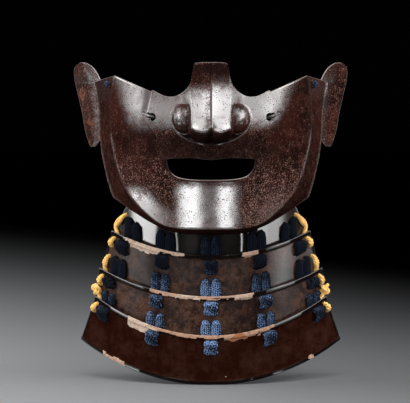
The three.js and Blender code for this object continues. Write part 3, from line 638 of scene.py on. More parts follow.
def sweep_tree():
    """Geometry Nodes: round strands along the edge lines of a mesh."""
    known = bpy.data.node_groups.get("sweep strands")
    if known:
        return known
    tree = bpy.data.node_groups.new("sweep strands", "GeometryNodeTree")
    face_in = tree.interface.new_socket
    face_in("Lines", in_out="INPUT", socket_type="NodeSocketGeometry")
    face_in("Strand Radius", in_out="INPUT", socket_type="NodeSocketFloat")
    face_in("Sides", in_out="INPUT", socket_type="NodeSocketInt")
    face_in("Finish", in_out="INPUT", socket_type="NodeSocketMaterial")
    face_in("Strands", in_out="OUTPUT", socket_type="NodeSocketGeometry")
    nodes = Nodes(tree)
    given = nodes.add("NodeGroupInput").socket.node.outputs
    take = {socket.name: Link(nodes, socket) for socket in given if socket.name}
    curve = nodes.add("GeometryNodeMeshToCurve", None, {"Mesh": take["Lines"]})
    ring = nodes.add("GeometryNodeCurvePrimitiveCircle", None,
                     {"Resolution": take["Sides"], "Radius": take["Strand Radius"]})
    tube = nodes.add("GeometryNodeCurveToMesh", None,
                     {"Curve": curve, "Profile Curve": ring, "Fill Caps": True})
    smooth = nodes.add("GeometryNodeSetShadeSmooth", None, {"Geometry": tube})
    whole = nodes.add("GeometryNodeRealizeInstances", None, {"Geometry": smooth})
    painted = nodes.add("GeometryNodeSetMaterial", None, {"Geometry": whole, "Material": take["Finish"]})
    nodes.add("NodeGroupOutput", None, {0: painted})
    return tree


def with_tree(piece, tree, values):
    """Runs a Geometry Nodes tree on an object, its inputs set by name, and keeps the result."""
    grow = piece.modifiers.new(tree.name, "NODES")
    grow.node_group = tree
    known = {item.name: item.identifier for item in tree.interface.items_tree if item.in_out == "INPUT"}
    for name, value in values.items():
        grow[known[name]] = value
    return settle(piece)


def strands_object(name, lines, radius, sides, material, marks=None):
    """Object of round strands along lists of points."""
    places = np.concatenate(lines)
    starts = np.cumsum([0] + [len(line) for line in lines])
    edges = []
    for start, end in zip(starts, starts[1:]):
        edges.append(np.stack([np.arange(start, end - 1), np.arange(start + 1, end)], 1))
    piece = mesh_object(name, places, np.zeros((0, 4), int), marks, np.concatenate(edges).tolist())
    values = {"Strand Radius": radius * MM, "Sides": sides, "Finish": material}
    return with_tree(piece, sweep_tree(), values)


def cutter_tree():
    """Geometry Nodes: a box cutter on each point, turned by the point's own directions."""
    tree = bpy.data.node_groups.new("hole cutters", "GeometryNodeTree")
    face_in = tree.interface.new_socket
    face_in("Spots", in_out="INPUT", socket_type="NodeSocketGeometry")
    face_in("Finish", in_out="INPUT", socket_type="NodeSocketMaterial")
    face_in("Cutters", in_out="OUTPUT", socket_type="NodeSocketGeometry")
    nodes = Nodes(tree)
    given = nodes.add("NodeGroupInput").socket.node.outputs
    take = {socket.name: Link(nodes, socket) for socket in given if socket.name}
    vector = {"data_type": "FLOAT_VECTOR"}
    along = nodes.add("GeometryNodeInputNamedAttribute", vector, {"Name": "along"})
    inward = nodes.add("GeometryNodeInputNamedAttribute", vector, {"Name": "inward"})
    size = nodes.add("GeometryNodeInputNamedAttribute", vector, {"Name": "size"})
    turn = nodes.add("FunctionNodeAxesToRotation", {"primary_axis": "X", "secondary_axis": "Y"},
                     {0: along, 1: inward})
    box = nodes.add("GeometryNodeMeshCube", None, {"Size": (1.0, 1.0, 1.0)})
    spots = nodes.add("GeometryNodeMeshToPoints", None, {"Mesh": take["Spots"]})
    copies = nodes.add("GeometryNodeInstanceOnPoints", None,
                       {"Points": spots, "Instance": box, "Rotation": turn, "Scale": size})
    whole = nodes.add("GeometryNodeRealizeInstances", None, {"Geometry": copies})
    painted = nodes.add("GeometryNodeSetMaterial", None, {"Geometry": whole, "Material": take["Finish"]})
    nodes.add("NodeGroupOutput", None, {0: painted})
    return tree


def mirrored(word, t):
    """A line of the main plate from the left temple to the right one, in the front view."""
    right = np.stack([MAIN.column[word + "_x"], MAIN.column[word + "_z"]], 1)
    whole = np.concatenate([right[:0:-1] * (-1, 1), right])
    return hermite(np.arange(len(whole)), whole, t * (len(whole) - 1))


def main_plate_grid():
    """Outer points of the main plate, and their distances from the jaw crease, negative on the flange."""
    t = np.linspace(0, 1, 2 * MAIN_STEPS["half"] + 1)
    inner, crease, outer = (mirrored(word, t)[:, None] for word in ("open", "fold", "edge"))
    flange = np.linspace(0, 1, MAIN_STEPS["flange"], endpoint=False)[None, :, None]
    cheek = np.linspace(0, 1, MAIN_STEPS["cheek"] + 1)[None, :, None]
    outer_y = jaw_y(outer[..., 0])
    flare = smooth_step(FLARE["low"], FLARE["high"], outer[..., 1:])
    widened = [np.sign(outer[..., :1]) * FLARE["out"], flare * FLARE["up"]]
    outer = outer + flare * np.concatenate(widened, 2)
    low = outer + (crease - outer) * flange
    high = crease + (inner - crease) * cheek
    crease_y = face(crease[..., 0], crease[..., 1])
    low_y = outer_y + (crease_y - outer_y) * flange[..., 0]
    high_y = face(high[..., 0], high[..., 1])
    to_mouth = np.linalg.norm(high - inner, axis=2)
    mouth = 1 - smooth_step(LIP["top"] - LIP["fade"], LIP["top"], high[..., 1])
    turned = np.maximum(1 - to_mouth / LIP["turn"], 0) ** 2
    high_y = high_y - mouth * (LIP["out"] * turned)
    x, z = (np.concatenate([low[..., k], high[..., k]], 1) for k in (0, 1))
    below = -np.linalg.norm(low - crease, axis=2)
    above = np.linalg.norm(high - crease, axis=2)
    points = np.stack([x, np.concatenate([low_y, high_y], 1), z], 2)
    return points, np.concatenate([below, above], 1)


def oval(x, z, spot):
    """Distance from the middle of an oval spot, 1 on its outline."""
    return np.hypot((x - spot["x"]) / spot["wide"], (z - spot["z"]) / spot["tall"])


def fold_distance(x, z):
    """Distance from the fold line round the wings and under the nose, negative inside it."""
    side = np.where(z > WING["z"], np.abs(x) - WING["x"], np.abs(x))
    half = np.where(z > WING["z"], FOLD_LINE["half"] - WING["x"], FOLD_LINE["half"])
    tall = np.where(z > WING["z"], FOLD_LINE["high"], FOLD_LINE["low"])
    rise = z - WING["z"]
    level = np.hypot(side / half, rise / tall)
    return (level - 1) * level / np.maximum(np.hypot(side / half**2, rise / tall**2), 1e-6)


def nose_relief(x, z):
    """How far the nose, its wings and the fold line round them stand out of the face."""
    lean = np.abs(x)
    q = lean / NOSE("half", z)
    lobe = TIP["lift"] * ((lean - TIP["x"]) / TIP["x"]) ** 2 * smooth_step(TIP["high"], TIP["low"], z)
    width = CROWN["steep"] + (CROWN["wide"] - CROWN["steep"]) * smooth_step(CROWN["low"], CROWN["high"], z)
    flank = np.exp(-((np.maximum(q - CROWN["edge"], 0) / width) ** 2))
    ridge = NOSE("ridge", z - lobe) * (1 - CROWN["fall"] * np.minimum(q, CROWN["flat"])) * flank
    reach = smooth_step(GROOVE["top"] + GROOVE["fade"], GROOVE["top"], z) * smooth_step(*GROOVE["low"], z)
    groove = GROOVE["deep"] * np.exp(-((x / GROOVE["wide"]) ** 2)) * reach
    cleft = np.exp(-((x / CLEFT["wide"]) ** 2) - ((z - CLEFT["z"]) / CLEFT["tall"]) ** 2)
    ridge = ridge - groove - CLEFT["deep"] * cleft
    wing = WING["out"] * np.sqrt(np.maximum(1 - oval(lean, z, WING) ** 2, 0))
    fold = fold_distance(x, z)
    line = FOLD_LINE["out"] * np.exp(-((fold / FOLD_LINE["wide"]) ** 2))
    line = line * smooth_step(*FOLD_LINE["side"], lean)
    sunk = FOLD_SUNK["deep"] * smooth_step(*FOLD_SUNK["inside"], fold) * smooth_step(*FOLD_SUNK["top"], z)
    ridge = ridge * np.where(z < WING["z"], smooth_step(*FOLD_LINE["end"], fold), 1.0)
    body = np.maximum(ridge, wing)
    body = np.maximum(body - NOSTRIL["deep"] * np.exp(-(oval(lean, z, NOSTRIL) ** 2)), 0)
    return np.maximum(body, line) - sunk * smooth_step(*FOLD_SUNK["free"], body)


def wall_share(x, z):
    """1 on the steep sides of the nose above its wings, 0 elsewhere."""
    q = np.abs(x) / NOSE("half", z)
    share = smooth_step(*NOSE_WALL["inner"], q) * smooth_step(*NOSE_WALL["outer"], q)
    return share * smooth_step(*NOSE_WALL["low"], z)


def nose_plate_grid():
    across = np.linspace(-NOSE_WIDE, NOSE_WIDE, NOSE_STEPS["across"] + 1)[:, None]
    lean = np.abs(across)
    up = np.linspace(0, 1, NOSE_STEPS["up"] + 1)[None, :]
    low = LIP_LINE("z", lean)
    z = low + (EYE_LINE("z", lean) - low) * up
    stretch = (SIDE_LINE("x", z) - NOSE_FREE) / (NOSE_WIDE - NOSE_FREE)
    x = np.sign(across) * np.where(lean <= NOSE_FREE, lean, NOSE_FREE + (lean - NOSE_FREE) * stretch)
    return np.stack([x, face(x, z) - NOSE_LIFT - nose_relief(x, z), z], 2)


def back_edge(z):
    """Back edge of the mask at a height, above the jaw corner."""
    x = hermite(MAIN.column["edge_z"][CORNER_ROW:], MAIN.column["edge_x"][CORNER_ROW:], z)
    return x, jaw_y(x)


def flange_spot(x, z):
    """Place and normal on the right flange between the crease and the back edge."""
    fold_x = hermite(MAIN.column["fold_z"][CORNER_ROW:], MAIN.column["fold_x"][CORNER_ROW:], z)
    fold_y = face(fold_x, z)
    edge_x, edge_y = back_edge(z)
    edge_x = edge_x + FLARE["out"] * smooth_step(FLARE["low"], FLARE["high"], z)
    share = (x - fold_x) / (edge_x - fold_x)
    along = unit(np.array([edge_x - fold_x, edge_y - fold_y, 0.0]))
    return np.array([x, fold_y + share * (edge_y - fold_y), z]), np.array([along[1], -along[0], 0.0])


def ear_grid():
    t = np.linspace(0, len(EAR.column["z"]) - 1, EAR_STEPS["up"] + 1)
    row = np.arange(len(EAR.column["z"]))
    z = hermite(row, EAR.column["z"], t)[None, :]
    front = hermite(row, EAR.column["front"], t)[None, :]
    outer = hermite(row, EAR.column["outer"], t)[None, :]
    share = np.linspace(0, 1, EAR_STEPS["across"] + 1)[:, None]
    x = front + (outer - front) * share
    edge_x, edge_y = back_edge(z)
    y = edge_y + 2 * GAP + EAR_SWEEP * (x - edge_x + EAR_BACK + GAP)
    width = (outer - front) / np.max(outer - front)
    y = y - EAR_DISH * width * np.sin(math.pi * share) ** 2
    return np.stack([x, y, np.broadcast_to(z, x.shape)], 2)


def drill(spots):
    """Round cutters as one object: place, direction and diameter of each."""
    sides = 28
    reach = 9.0
    places = []
    faces = []
    for place, direction, across in spots:
        direction = unit(np.asarray(direction, float))
        first = unit(np.cross(direction, (0.0, 0.0, 1.0)))
        second = np.cross(direction, first)
        turn = np.arange(sides) * 2 * math.pi / sides
        ring = across / 2 * (np.cos(turn)[:, None] * first + np.sin(turn)[:, None] * second)
        start = sum(len(part) for part in places)
        places.append(np.concatenate([place + ring - direction * reach, place + ring + direction * reach]))
        i = np.arange(sides)
        j = (i + 1) % sides
        faces += (np.stack([i, j, j + sides, i + sides], 1) + start).tolist()
        faces.append((start + i[::-1]).tolist())
        faces.append((start + sides + i).tolist())
    mesh = bpy.data.meshes.new("drills")
    mesh.from_pydata((np.concatenate(places) * MM).tolist(), [], faces)
    tool = bpy.data.objects.new("drills", mesh)
    bpy.context.scene.collection.objects.link(tool)
    return tool


def face_direction(x, z):
    step = 0.5
    slope = (face(x + step, z) - face(x - step, z)) / (2 * step)
    return unit(np.array([float(slope), -1.0, 0.0]))


def both_sides(spots):
    """The spots of the right side with those of the left one."""
    mirror = (-1, 1, 1)
    return spots + [(place * mirror, way * mirror, across) for place, way, across in spots]


def hook_spot(word):
    """Place, direction and diameter of a hook's hole in the cheek, by its name in HOOK."""
    x, z = HOOK[word + "_x"], HOOK[word + "_z"]
    return np.array([x, float(face(x, z)), z]), face_direction(x, z), HOOK[word]


def jaw_edge(x):
    return JAW_LOW + JAW_RISE * (np.abs(x) / JAW_CORNER) ** 3


def lame_top(lame, angle):
    if lame is LAMES[0]:
        return jaw_edge(lame["radius"] * np.sin(angle)) + TUCK
    share = np.sin(angle) / math.sin(math.radians(lame["top_end"]))
    return lame["top"] + lame["top_rise"] * share**2


def lame_bottom(lame, angle):
    share = np.sin(angle) / math.sin(math.radians(lame["bottom_end"]))
    return lame["bottom"] + lame["bottom_rise"] * share**2


def lame_radius(lame, angle, z):
    flared = lame["radius"] + lame["flare"] * np.maximum(lame_top(lame, angle) - z, 0)
    return flared - lame["draw"] * np.sin(angle) ** 2


def lame_end(lame, share):
    return np.radians(lame["top_end"] + (lame["bottom_end"] - lame["top_end"]) * share)


def around(angle, radius, z):
    angle, radius, z = np.broadcast_arrays(angle, radius, z)
    return np.stack([radius * np.sin(angle), AXIS_Y - radius * np.cos(angle), z], -1)


def spread(length, edges, step):
    """Distances along a length: close steps at both ends, even ones between."""
    near = [edge for edge in edges if edge < length / 2]
    middle = np.linspace(near[-1], length - near[-1], max(2, int((length - 2 * near[-1]) / step)))
    return np.concatenate([near[:-1], middle, length - np.array(near[-2::-1])])


def rim_lift(rim, away):
    """How far a turned rim stands out at a distance from the edge."""
    return rim["out"] * (1 - smooth_step(rim["wide"], rim["wide"] + rim["slope"], away))


def lame_grid(index):
    """Outer points of a lame, with the distances to its top, bottom and nearest end."""
    lame = LAMES[index]
    half = lame["radius"] * math.radians(lame["bottom_end"])
    u = (spread(2 * half, EDGE_ROWS, LAME_STEP) / half - 1)[:, None]
    tall = lame["top"] - lame["bottom"]
    share = (1 - spread(tall, EDGE_ROWS, LAME_STEP) / tall)[None, :]
    angle = u * lame_end(lame, share)
    top = lame_top(lame, angle)
    bottom = lame_bottom(lame, angle)
    z = top + (bottom - top) * share
    to_top = top - z
    to_bottom = z - bottom
    to_end = (1 - np.abs(u)) * lame_end(lame, share) * lame["radius"]
    out = rim_lift(SIDE_RIM, to_end)
    if index > 0:
        out = np.maximum(out, rim_lift(RIM, to_top))
    if index == LAST_LAME:
        out = np.maximum(out, rim_lift(RIM, to_bottom))
    points = around(angle, lame_radius(lame, angle, z) + out, z)
    return points, to_top, to_bottom, to_end


def lame_wear(index, points, to_top, to_bottom):
    """How far inside a worn stretch each point lies, in millimetres, and the tone of the bare ground."""
    worn = np.full(to_top.shape, -WORN_BASE)
    tone = np.zeros(to_top.shape)
    for lame, edge, start, end, depth, ground in WORN:
        if lame != index + 1:
            continue
        away = to_top if edge == "top" else to_bottom
        x = points[..., 0]
        inside = np.minimum(x - start, end - x)
        level = np.minimum(depth - away, inside)
        tone = np.where(level > np.maximum(worn, -1.5), ground, tone)
        worn = np.maximum(worn, level)
    return worn + WORN_BASE, tone


def along_rim(lame, angle):
    step = 0.01
    radius = lame["radius"]
    start = around(angle - step, radius, lame_top(lame, angle - step))
    return unit(around(angle + step, radius, lame_top(lame, angle + step)) - start)


def cross_angle(index, column):
    return math.radians(LAMES[index]["columns"][column])


def pair_angle(index, column):
    here = cross_angle(index, column)
    return here + (cross_angle(index + 1, column) - here) * PAIR["drift"]


def next_rim_drop(index, angle):
    return float(lame_top(LAMES[index], angle) - lame_top(LAMES[index + 1], angle))


def cross_bottom(index, angle):
    if index == LAST_LAME:
        return CROSS["bottom"]
    return min(CROSS["bottom"], CROSS["share"] * next_rim_drop(index, angle))


def pair_drop(index, angle):
    wanted = next_rim_drop(index, angle) - PAIR["length"]
    return wanted if index == 0 else max(cross_bottom(index, angle) + PAIR["below"], wanted)


def stop(index, angle, side, drop, level, wide):
    """One stop of a cord: its place, its direction across and its width, as one row."""
    lame = LAMES[index]
    turned = angle + side / lame["radius"]
    z = lame_top(lame, turned) - drop
    place = around(turned, lame_radius(lame, turned, z) + level, z)
    return np.concatenate([place, along_rim(lame, turned), [wide]])


def braid_stops(column, side):
    """One cord of a column: out of a lame, down behind the next rim, out, across and in again."""
    rows = []
    squeezed = BRAID["squeezed"]
    wide = BRAID["wide"]
    for g in range(LAST_LAME):
        above = pair_angle(g, column)
        below = cross_angle(g + 1, column)
        drop = pair_drop(g, above)
        rim = next_rim_drop(g, above)
        apart = side * PAIR["side"]
        if g == 0:
            rows.append(stop(g, above, apart, drop - DIVE - PAIR["head"], BACK, squeezed))
        rows.append(stop(g, above, apart, drop - DIVE, BACK, squeezed))
        rows.append(stop(g, above, apart, drop + DIVE, FRONT, squeezed + PAIR["shoulder"]))
        rows.append(stop(g, above, apart, drop + DIVE + PAIR["swell"], FRONT, wide))
        rows.append(stop(g, above, apart, rim - PAIR["foot"], FRONT, wide))
        apart = side * CROSS["side"]
        low = cross_bottom(g + 1, below)
        over = FRONT + (CROSS["over"] if side > 0 else 0)
        rows.append(stop(g + 1, below, apart, CROSS["top"] - DIVE, BACK, squeezed))
        rows.append(stop(g + 1, below, apart, CROSS["top"] + DIVE, FRONT, BRAID["ends"]))
        rows.append(stop(g + 1, below, 0, (CROSS["top"] + low) / 2, over, BRAID["crossing"]))
        rows.append(stop(g + 1, below, -apart, low - DIVE, FRONT, BRAID["ends"]))
        rows.append(stop(g + 1, below, -apart, low + DIVE, BACK, squeezed))
        side = -side
    tail = CROSS["bottom"] + DIVE + CROSS["tail"]
    rows.append(stop(LAST_LAME, cross_angle(LAST_LAME, column), side * CROSS["side"], tail, BACK, squeezed))
    return np.array(rows)


def edge_angle(index, side, drop):
    lame = LAMES[index]
    share = drop / (lame["top"] - lame["bottom"])
    return side * (float(lame_end(lame, share)) - EDGE["inset"] / lame["radius"])


def edge_drop(index, side):
    rim = next_rim_drop(index, edge_angle(index, side, EDGE["stitch"] + DIVE))
    return rim - EDGE["first"] if index == 0 else max(EDGE["below"], rim - EDGE["stitch"])


def edge_stops(side):
    """Yellow cord: one stitch on each lame above a rim and one below it."""
    rows = []

    def put(g, drop, level, wide):
        rows.append(stop(g, edge_angle(g, side, drop), 0, drop, level, wide))

    for g in range(LAST_LAME):
        drop = edge_drop(g, side)
        rim = next_rim_drop(g, edge_angle(g, side, drop + EDGE["stitch"]))
        if g == 0:
            put(g, drop - DIVE - EDGE["tail"], BACK, EDGE["squeezed"])
        put(g, drop - DIVE, BACK, EDGE["squeezed"])
        put(g, drop + DIVE, LOW, EDGE["squeezed"])
        put(g, (drop + rim) / 2, EDGE["out"], EDGE["wide"])
        put(g, rim - PAIR["foot"], LOW, EDGE["squeezed"])
        put(g + 1, CROSS["top"] - DIVE, BACK, EDGE["squeezed"])
        put(g + 1, CROSS["top"] + DIVE, LOW, EDGE["squeezed"])
        put(g + 1, (CROSS["top"] + EDGE["low"]) / 2, EDGE["out"], EDGE["wide"])
        put(g + 1, EDGE["low"] - DIVE, LOW, EDGE["squeezed"])
        put(g + 1, EDGE["low"] + DIVE, BACK, EDGE["squeezed"])
    put(LAST_LAME, CROSS["bottom"] + DIVE + EDGE["tail"], BACK, EDGE["squeezed"])
    return np.array(rows)


def smooth_cord(rows):
    """Even points along a cord, its directions across and over, its width, and the length so far."""
    samples = 60
    chord = np.sqrt(np.linalg.norm(np.diff(rows[:, :3], axis=0), axis=1))
    keys = np.concatenate([[0], np.cumsum(chord)])
    dense = np.linspace(0, keys[-1], samples * len(rows))
    line = hermite(keys, rows[:, :3], dense)
    length = np.concatenate([[0], np.cumsum(np.linalg.norm(np.diff(line, axis=0), axis=1))])
    even = np.arange(0, length[-1], CORD_STEP)
    at = np.interp(even, length, dense)
    line = hermite(keys, rows[:, :3], at)
    along = unit(np.gradient(line, axis=0))
    across = np.stack([np.interp(at, keys, rows[:, k]) for k in (3, 4, 5)], 1)
    across = unit(across - along * np.sum(across * along, axis=1, keepdims=True))
    over = unit(np.cross(along, across))
    return line, across, over, np.interp(at, keys, rows[:, 6]), even


def ridges(cord, count, pitch, thick):
    """Plies of a flat cord: ridges side by side, each of two plies, turned left and right by turns.

    Gives their lines, and for each point a share of painted light: more where the ply lies up, less where it
    lies down and towards the cord's right, as painted shade."""
    line, across, over, wide, length = cord
    lines = []
    lit_shares = []
    for k in range(count):
        sideways = (2 * k + 1) / count - 1
        crown = thick * (math.sqrt(1 - 0.8 * sideways**2) - 0.6)
        reach = wide / count / 4
        aside = sideways * (wide / 2 - 0.15 * reach)
        for ply in range(2):
            turn = 2 * math.pi * (length / pitch + ply / 2) * (1 if k % 2 else -1)
            side = aside + reach * np.cos(turn)
            lift = crown + reach * np.sin(turn)
            lines.append(line + across * side[:, None] + over * lift[:, None])
            # painted light on the ply tops, painted shade in the hollows and to the right of the cord
            lit_shares.append(0.62 + 0.3 * np.sin(turn) - 0.2 * sideways)
    return lines, lit_shares


def plait(cord, count, pitch, radius, thick):
    """Strands of a flat braid: each runs from edge to edge, over one strand and under the next."""
    line, across, over, wide, length = cord
    lines = []
    for k in range(count):
        turn = (length / pitch + k / count) % 1.0
        sideways = np.sin(math.pi / 2 * (1 - 4 * np.abs(turn - 0.5)))
        step = 2 * count * turn
        height = np.where(step < count, -np.cos(math.pi * step), np.cos(math.pi * step))
        from_right = step - count
        from_left = np.where(step < count, step, step - 2 * count)
        height = np.where(np.abs(from_right) < 1, -np.sin(math.pi / 2 * from_right), height)
        height = np.where(np.abs(from_left) < 1, np.sin(math.pi / 2 * from_left), height)
        crown = np.sqrt(np.maximum(1 - 0.75 * sideways**2, 0))
        lift = thick * (height * 0.5 + crown - 0.6)
        aside = sideways * (wide / 2 - radius)
        lines.append(line + across * aside[:, None] + over * lift[:, None])
    return lines


def knot_line(place, first, second, out, reach):
    """A small overhand knot: a closed clover line pulled tight, seen along its own axis."""
    t = np.linspace(0, 2 * math.pi, 96)
    flat = np.stack([np.sin(t) + 2 * np.sin(2 * t), np.cos(t) - 2 * np.cos(2 * t), -np.sin(3 * t)], 1)
    flat = flat * (reach / 3.0, reach / 3.0, reach / 2.6)
    return place + flat[:, :1] * first + flat[:, 1:2] * second + flat[:, 2:] * out


def twist(line, count, pitch, radius):
    """Strands of a round cord that wind about a line."""
    along = unit(np.gradient(line, axis=0))
    side = unit(np.cross(along, (0.31, 0.87, 0.38)))
    over = np.cross(along, side)
    length = np.concatenate([[0], np.cumsum(np.linalg.norm(np.diff(line, axis=0), axis=1))])
    lines = []
    for k in range(count):
        turn = 2 * math.pi * (length / pitch + k / count)
        lines.append(line + radius * (np.cos(turn)[:, None] * side + np.sin(turn)[:, None] * over))
    return lines


def lacing_hole_spots(index):
    """Middle, size and directions of each hole that the lacing needs in a lame."""
    lame = LAMES[index]
    spots = []

    def put(angle, drop, wide):
        z = float(lame_top(lame, angle) - drop)
        place = around(angle, lame_radius(lame, angle, z) - LAME_WALL / 2, z)
        inward = np.array([-math.sin(angle), math.cos(angle), 0.0])
        size = (wide * MM, HOLE["deep"] * MM, HOLE["tall"] * MM)
        spots.append((place, along_rim(lame, angle), inward, size))

    for column in range(len(lame["columns"])):
        if index < LAST_LAME:
            angle = pair_angle(index, column)
            for side in SIDES.values():
                aside = angle + side * PAIR["side"] / lame["radius"]
                put(aside, pair_drop(index, angle), BRAID["squeezed"] + HOLE["pair"])
        if index > 0:
            angle = cross_angle(index, column)
            wide = 2 * CROSS["side"] + BRAID["squeezed"] + HOLE["cross"]
            put(angle, CROSS["top"], wide)
            put(angle, cross_bottom(index, angle), wide)
    for side in SIDES.values():
        drops = [edge_drop(index, side)] if index < LAST_LAME else []
        drops += [CROSS["top"], EDGE["low"]] if index > 0 else []
        for drop in drops:
            put(edge_angle(index, side, drop), drop, EDGE["squeezed"] + HOLE["edge"])
    return spots


class MaskSizes(bpy.types.PropertyGroup):
    wall: FloatProperty(name="Wall", description="Thickness of the mask's iron", default=0.0016,
                        subtype="DISTANCE", unit="LENGTH")
    edge: FloatProperty(name="Edge", description="How far the rounded edges swell", default=0.0006,
                        subtype="DISTANCE", unit="LENGTH")
    dents: FloatProperty(name="Dents", description="Depth of the hammered unevenness", default=0.00004,
                         subtype="DISTANCE", unit="LENGTH")
    dent_size: FloatProperty(name="Dent Size", description="Distance between the dents", default=0.013,
                             subtype="DISTANCE", unit="LENGTH")


class CordSizes(bpy.types.PropertyGroup):
    ridges: IntProperty(name="Ridges", description="Ridges side by side on a blue cord", default=5)
    ply: FloatProperty(name="Ply", description="Radius of a ply, two of which make a ridge", default=0.00054,
                       subtype="DISTANCE", unit="LENGTH")
    pitch: FloatProperty(name="Pitch", description="Length in which the plies of a ridge turn once",
                         default=0.0036, subtype="DISTANCE", unit="LENGTH")
    thick: FloatProperty(name="Thickness", description="How far a cord's middle stands up", default=0.0022,
                         subtype="DISTANCE", unit="LENGTH")
    gold_strand: FloatProperty(name="Gold Strand", description="Radius of an edge cord's strand",
                               default=0.00074, subtype="DISTANCE", unit="LENGTH")
    gold_pitch: FloatProperty(name="Gold Pitch", description="Pitch of the edge cord", default=0.0078,
                              subtype="DISTANCE", unit="LENGTH")


def shade(name, description, values):
    return FloatVectorProperty(name=name, description=description, default=values, subtype="COLOR",
                               size=3, min=0.0, max=1.0)


class Finishes(bpy.types.PropertyGroup):
    iron_dark: shade("Iron Dark", "Darkest brown of the russet iron", (0.0055, 0.0020, 0.0016))
    iron_red: shade("Iron Red", "Red-brown of the russet iron", (0.019, 0.0050, 0.0036))
    iron_light: shade("Iron Light", "Lighter rust in the mottling", (0.036, 0.0125, 0.0092))
    iron_speck: shade("Iron Speck", "Pale specks on the rust", (0.205, 0.124, 0.104))
    iron_orange: shade("Iron Orange", "Orange patches of rust on the ears", (0.105, 0.036, 0.019))
    iron_pit_and_shade: shade("Iron Pit", "Dark pits and grime", (0.0065, 0.0032, 0.0028))
    iron_worn: shade("Iron Worn", "Bare metal on the edges", (0.14, 0.110, 0.100))
    lacquer_black: shade("Lacquer Black", "Brown-black lacquer", (0.0040, 0.0026, 0.0024))
    lacquer_red: shade("Lacquer Red", "Red-brown lacquer of the lowest lame", (0.0118, 0.0026, 0.0014))
    lacquer_haze: shade("Lacquer Haze", "Dusty brown haze on the lacquer", (0.088, 0.043, 0.030))
    chip_pale: shade("Chip Pale", "Pale ground under chipped lacquer", (0.44, 0.33, 0.26))
    chip_tan: shade("Chip Tan", "Tan ground under chipped lacquer", (0.13, 0.080, 0.056))
    chip_orange: shade("Chip Orange", "Orange-brown ground", (0.26, 0.105, 0.050))
    indigo_deep: shade("Indigo Deep", "Deep indigo of the braid", (0.0030, 0.0046, 0.0090))
    indigo_faded: shade("Indigo Faded", "Faded indigo of the middle columns", (0.135, 0.205, 0.36))
    gold_bright: shade("Gold Bright", "Bright yellow of the edge cord", (0.92, 0.57, 0.16))
    gold_dusty: shade("Gold Dusty", "Dusty yellow of the edge cord", (0.62, 0.34, 0.08))
    wire_dark: shade("Wire Dark", "Dark iron of the hooks", (0.030, 0.022, 0.020))
    wire_worn: shade("Wire Worn", "Bright iron of the hooks", (0.22, 0.20, 0.19))
    floor: shade("Floor", "Pale floor", (0.178, 0.183, 0.189))
    room: shade("Room", "Dim light from all round", (0.0004, 0.0004, 0.0005))


class StageSizes(bpy.types.PropertyGroup):
    distance: FloatProperty(name="Distance", description="Camera distance from the origin", default=1.6,
                            subtype="DISTANCE", unit="LENGTH")
    pitch: FloatProperty(name="Pitch", description="How far the camera looks down",
                         default=math.radians(3.0), subtype="ANGLE")
    pixel: FloatProperty(name="Pixel", description="Size of a pixel at the origin", default=0.00075,
                         subtype="DISTANCE", unit="LENGTH")
    light: FloatProperty(name="Light", description="Strength of all the lights", default=1.0)


class FaceGuard(bpy.types.PropertyGroup):
    mask: PointerProperty(type=MaskSizes, name="Mask", description="Sizes of the mask")
    cords: PointerProperty(type=CordSizes, name="Cords", description="Sizes of the lacing")
    finish: PointerProperty(type=Finishes, name="Finishes", description="Colours of the finishes")
    stage: PointerProperty(type=StageSizes, name="Stage", description="Camera and light")


# Seeds of the hammered dents
SEEDS = {"main": 11, "nose": 12, "ear": 20, "lame": 30}

# Sides of the round strands of each kind
STRAND_SIDES = {"hook": 16, "tie": 6, "braid": 5, "edge": 7}

# Values painted on the iron, by point, painted shade among them, and those that its inner skin has instead
IRON_MARKS = ("shade_and_darkening", "rust", "blur", "fleck", "crease", "patch")
IRON_INSIDE = {"rust": 0.97, "crease": 0.0}


def dented(points, seed, apart, deep):
    bumps = unevenness(points, seed, apart) * deep
    return points + grid_normals(points) * bumps[..., None]


def russet_plate(name, points, seed, marks):
    """Iron plate with hammered dents; a mark that isn't given is 0."""
    sizes = bpy.context.scene.face_guard.mask
    plain = np.zeros(points.shape[:2])
    marks = {word: plain + marks.get(word, 0.0) for word in IRON_MARKS}
    points = dented(points, seed, sizes.dent_size / MM, sizes.dents / MM)
    return plate(name, points, sizes.wall / MM, sizes.edge / MM, marks, IRON_INSIDE)


# Marks of the main plate: the spans over which each comes in, and its strength
MAIN_RUST = 0.99
CREASE_SPAN = (-0.6, 0.6)
CHIN_SHINE = {"left": (30, 23), "right": (25, 17), "top": (29, 21), "dip": 0.3, "dip_wide": 5.0}
JAW_SHINE = {"inward": (16, 7), "top": (26, 6), "side": (20, 34), "right": 0.05}
BROW_SHINE = {"left": (58, 0.35, 76), "right": (47.5, 0.5, 80), "low": (62, 84), "fade": (11, 0)}
JAW_BLUR = {"side": (28, 40), "top": (20, 6), "most": 0.6}
JAW_FLECK = {"top": (62, 26), "side": (18, 26), "right": (0, 10), "right_top": (34, 10), "right_more": 0.5}
# painted shadow of the nose plate's edge on the cheek, stronger on the left
SEAM_SHADOW = {"out": 2.8, "wide": 2.0, "spread": 0.07, "z": 76, "low": (77, 82), "left": 0.62, "right": 0.25}
# darker oval on each cheek, and darker sides of the mouth in the plate's last two rows
CHEEK_DARK = {"x": 46, "z": 51, "wide": 8, "tall": 6, "most": 0.7}
MOUTH_DARK = {"low": (30, 35), "high": (50, 46), "most": 0.9}
CREASE_WEAR = {"wide": 0.9, "top": (68, 56), "side": (30, 44), "most": 0.32}
EDGE_WEAR = {"low": (4, 14), "most": (1.0, 0.35)}


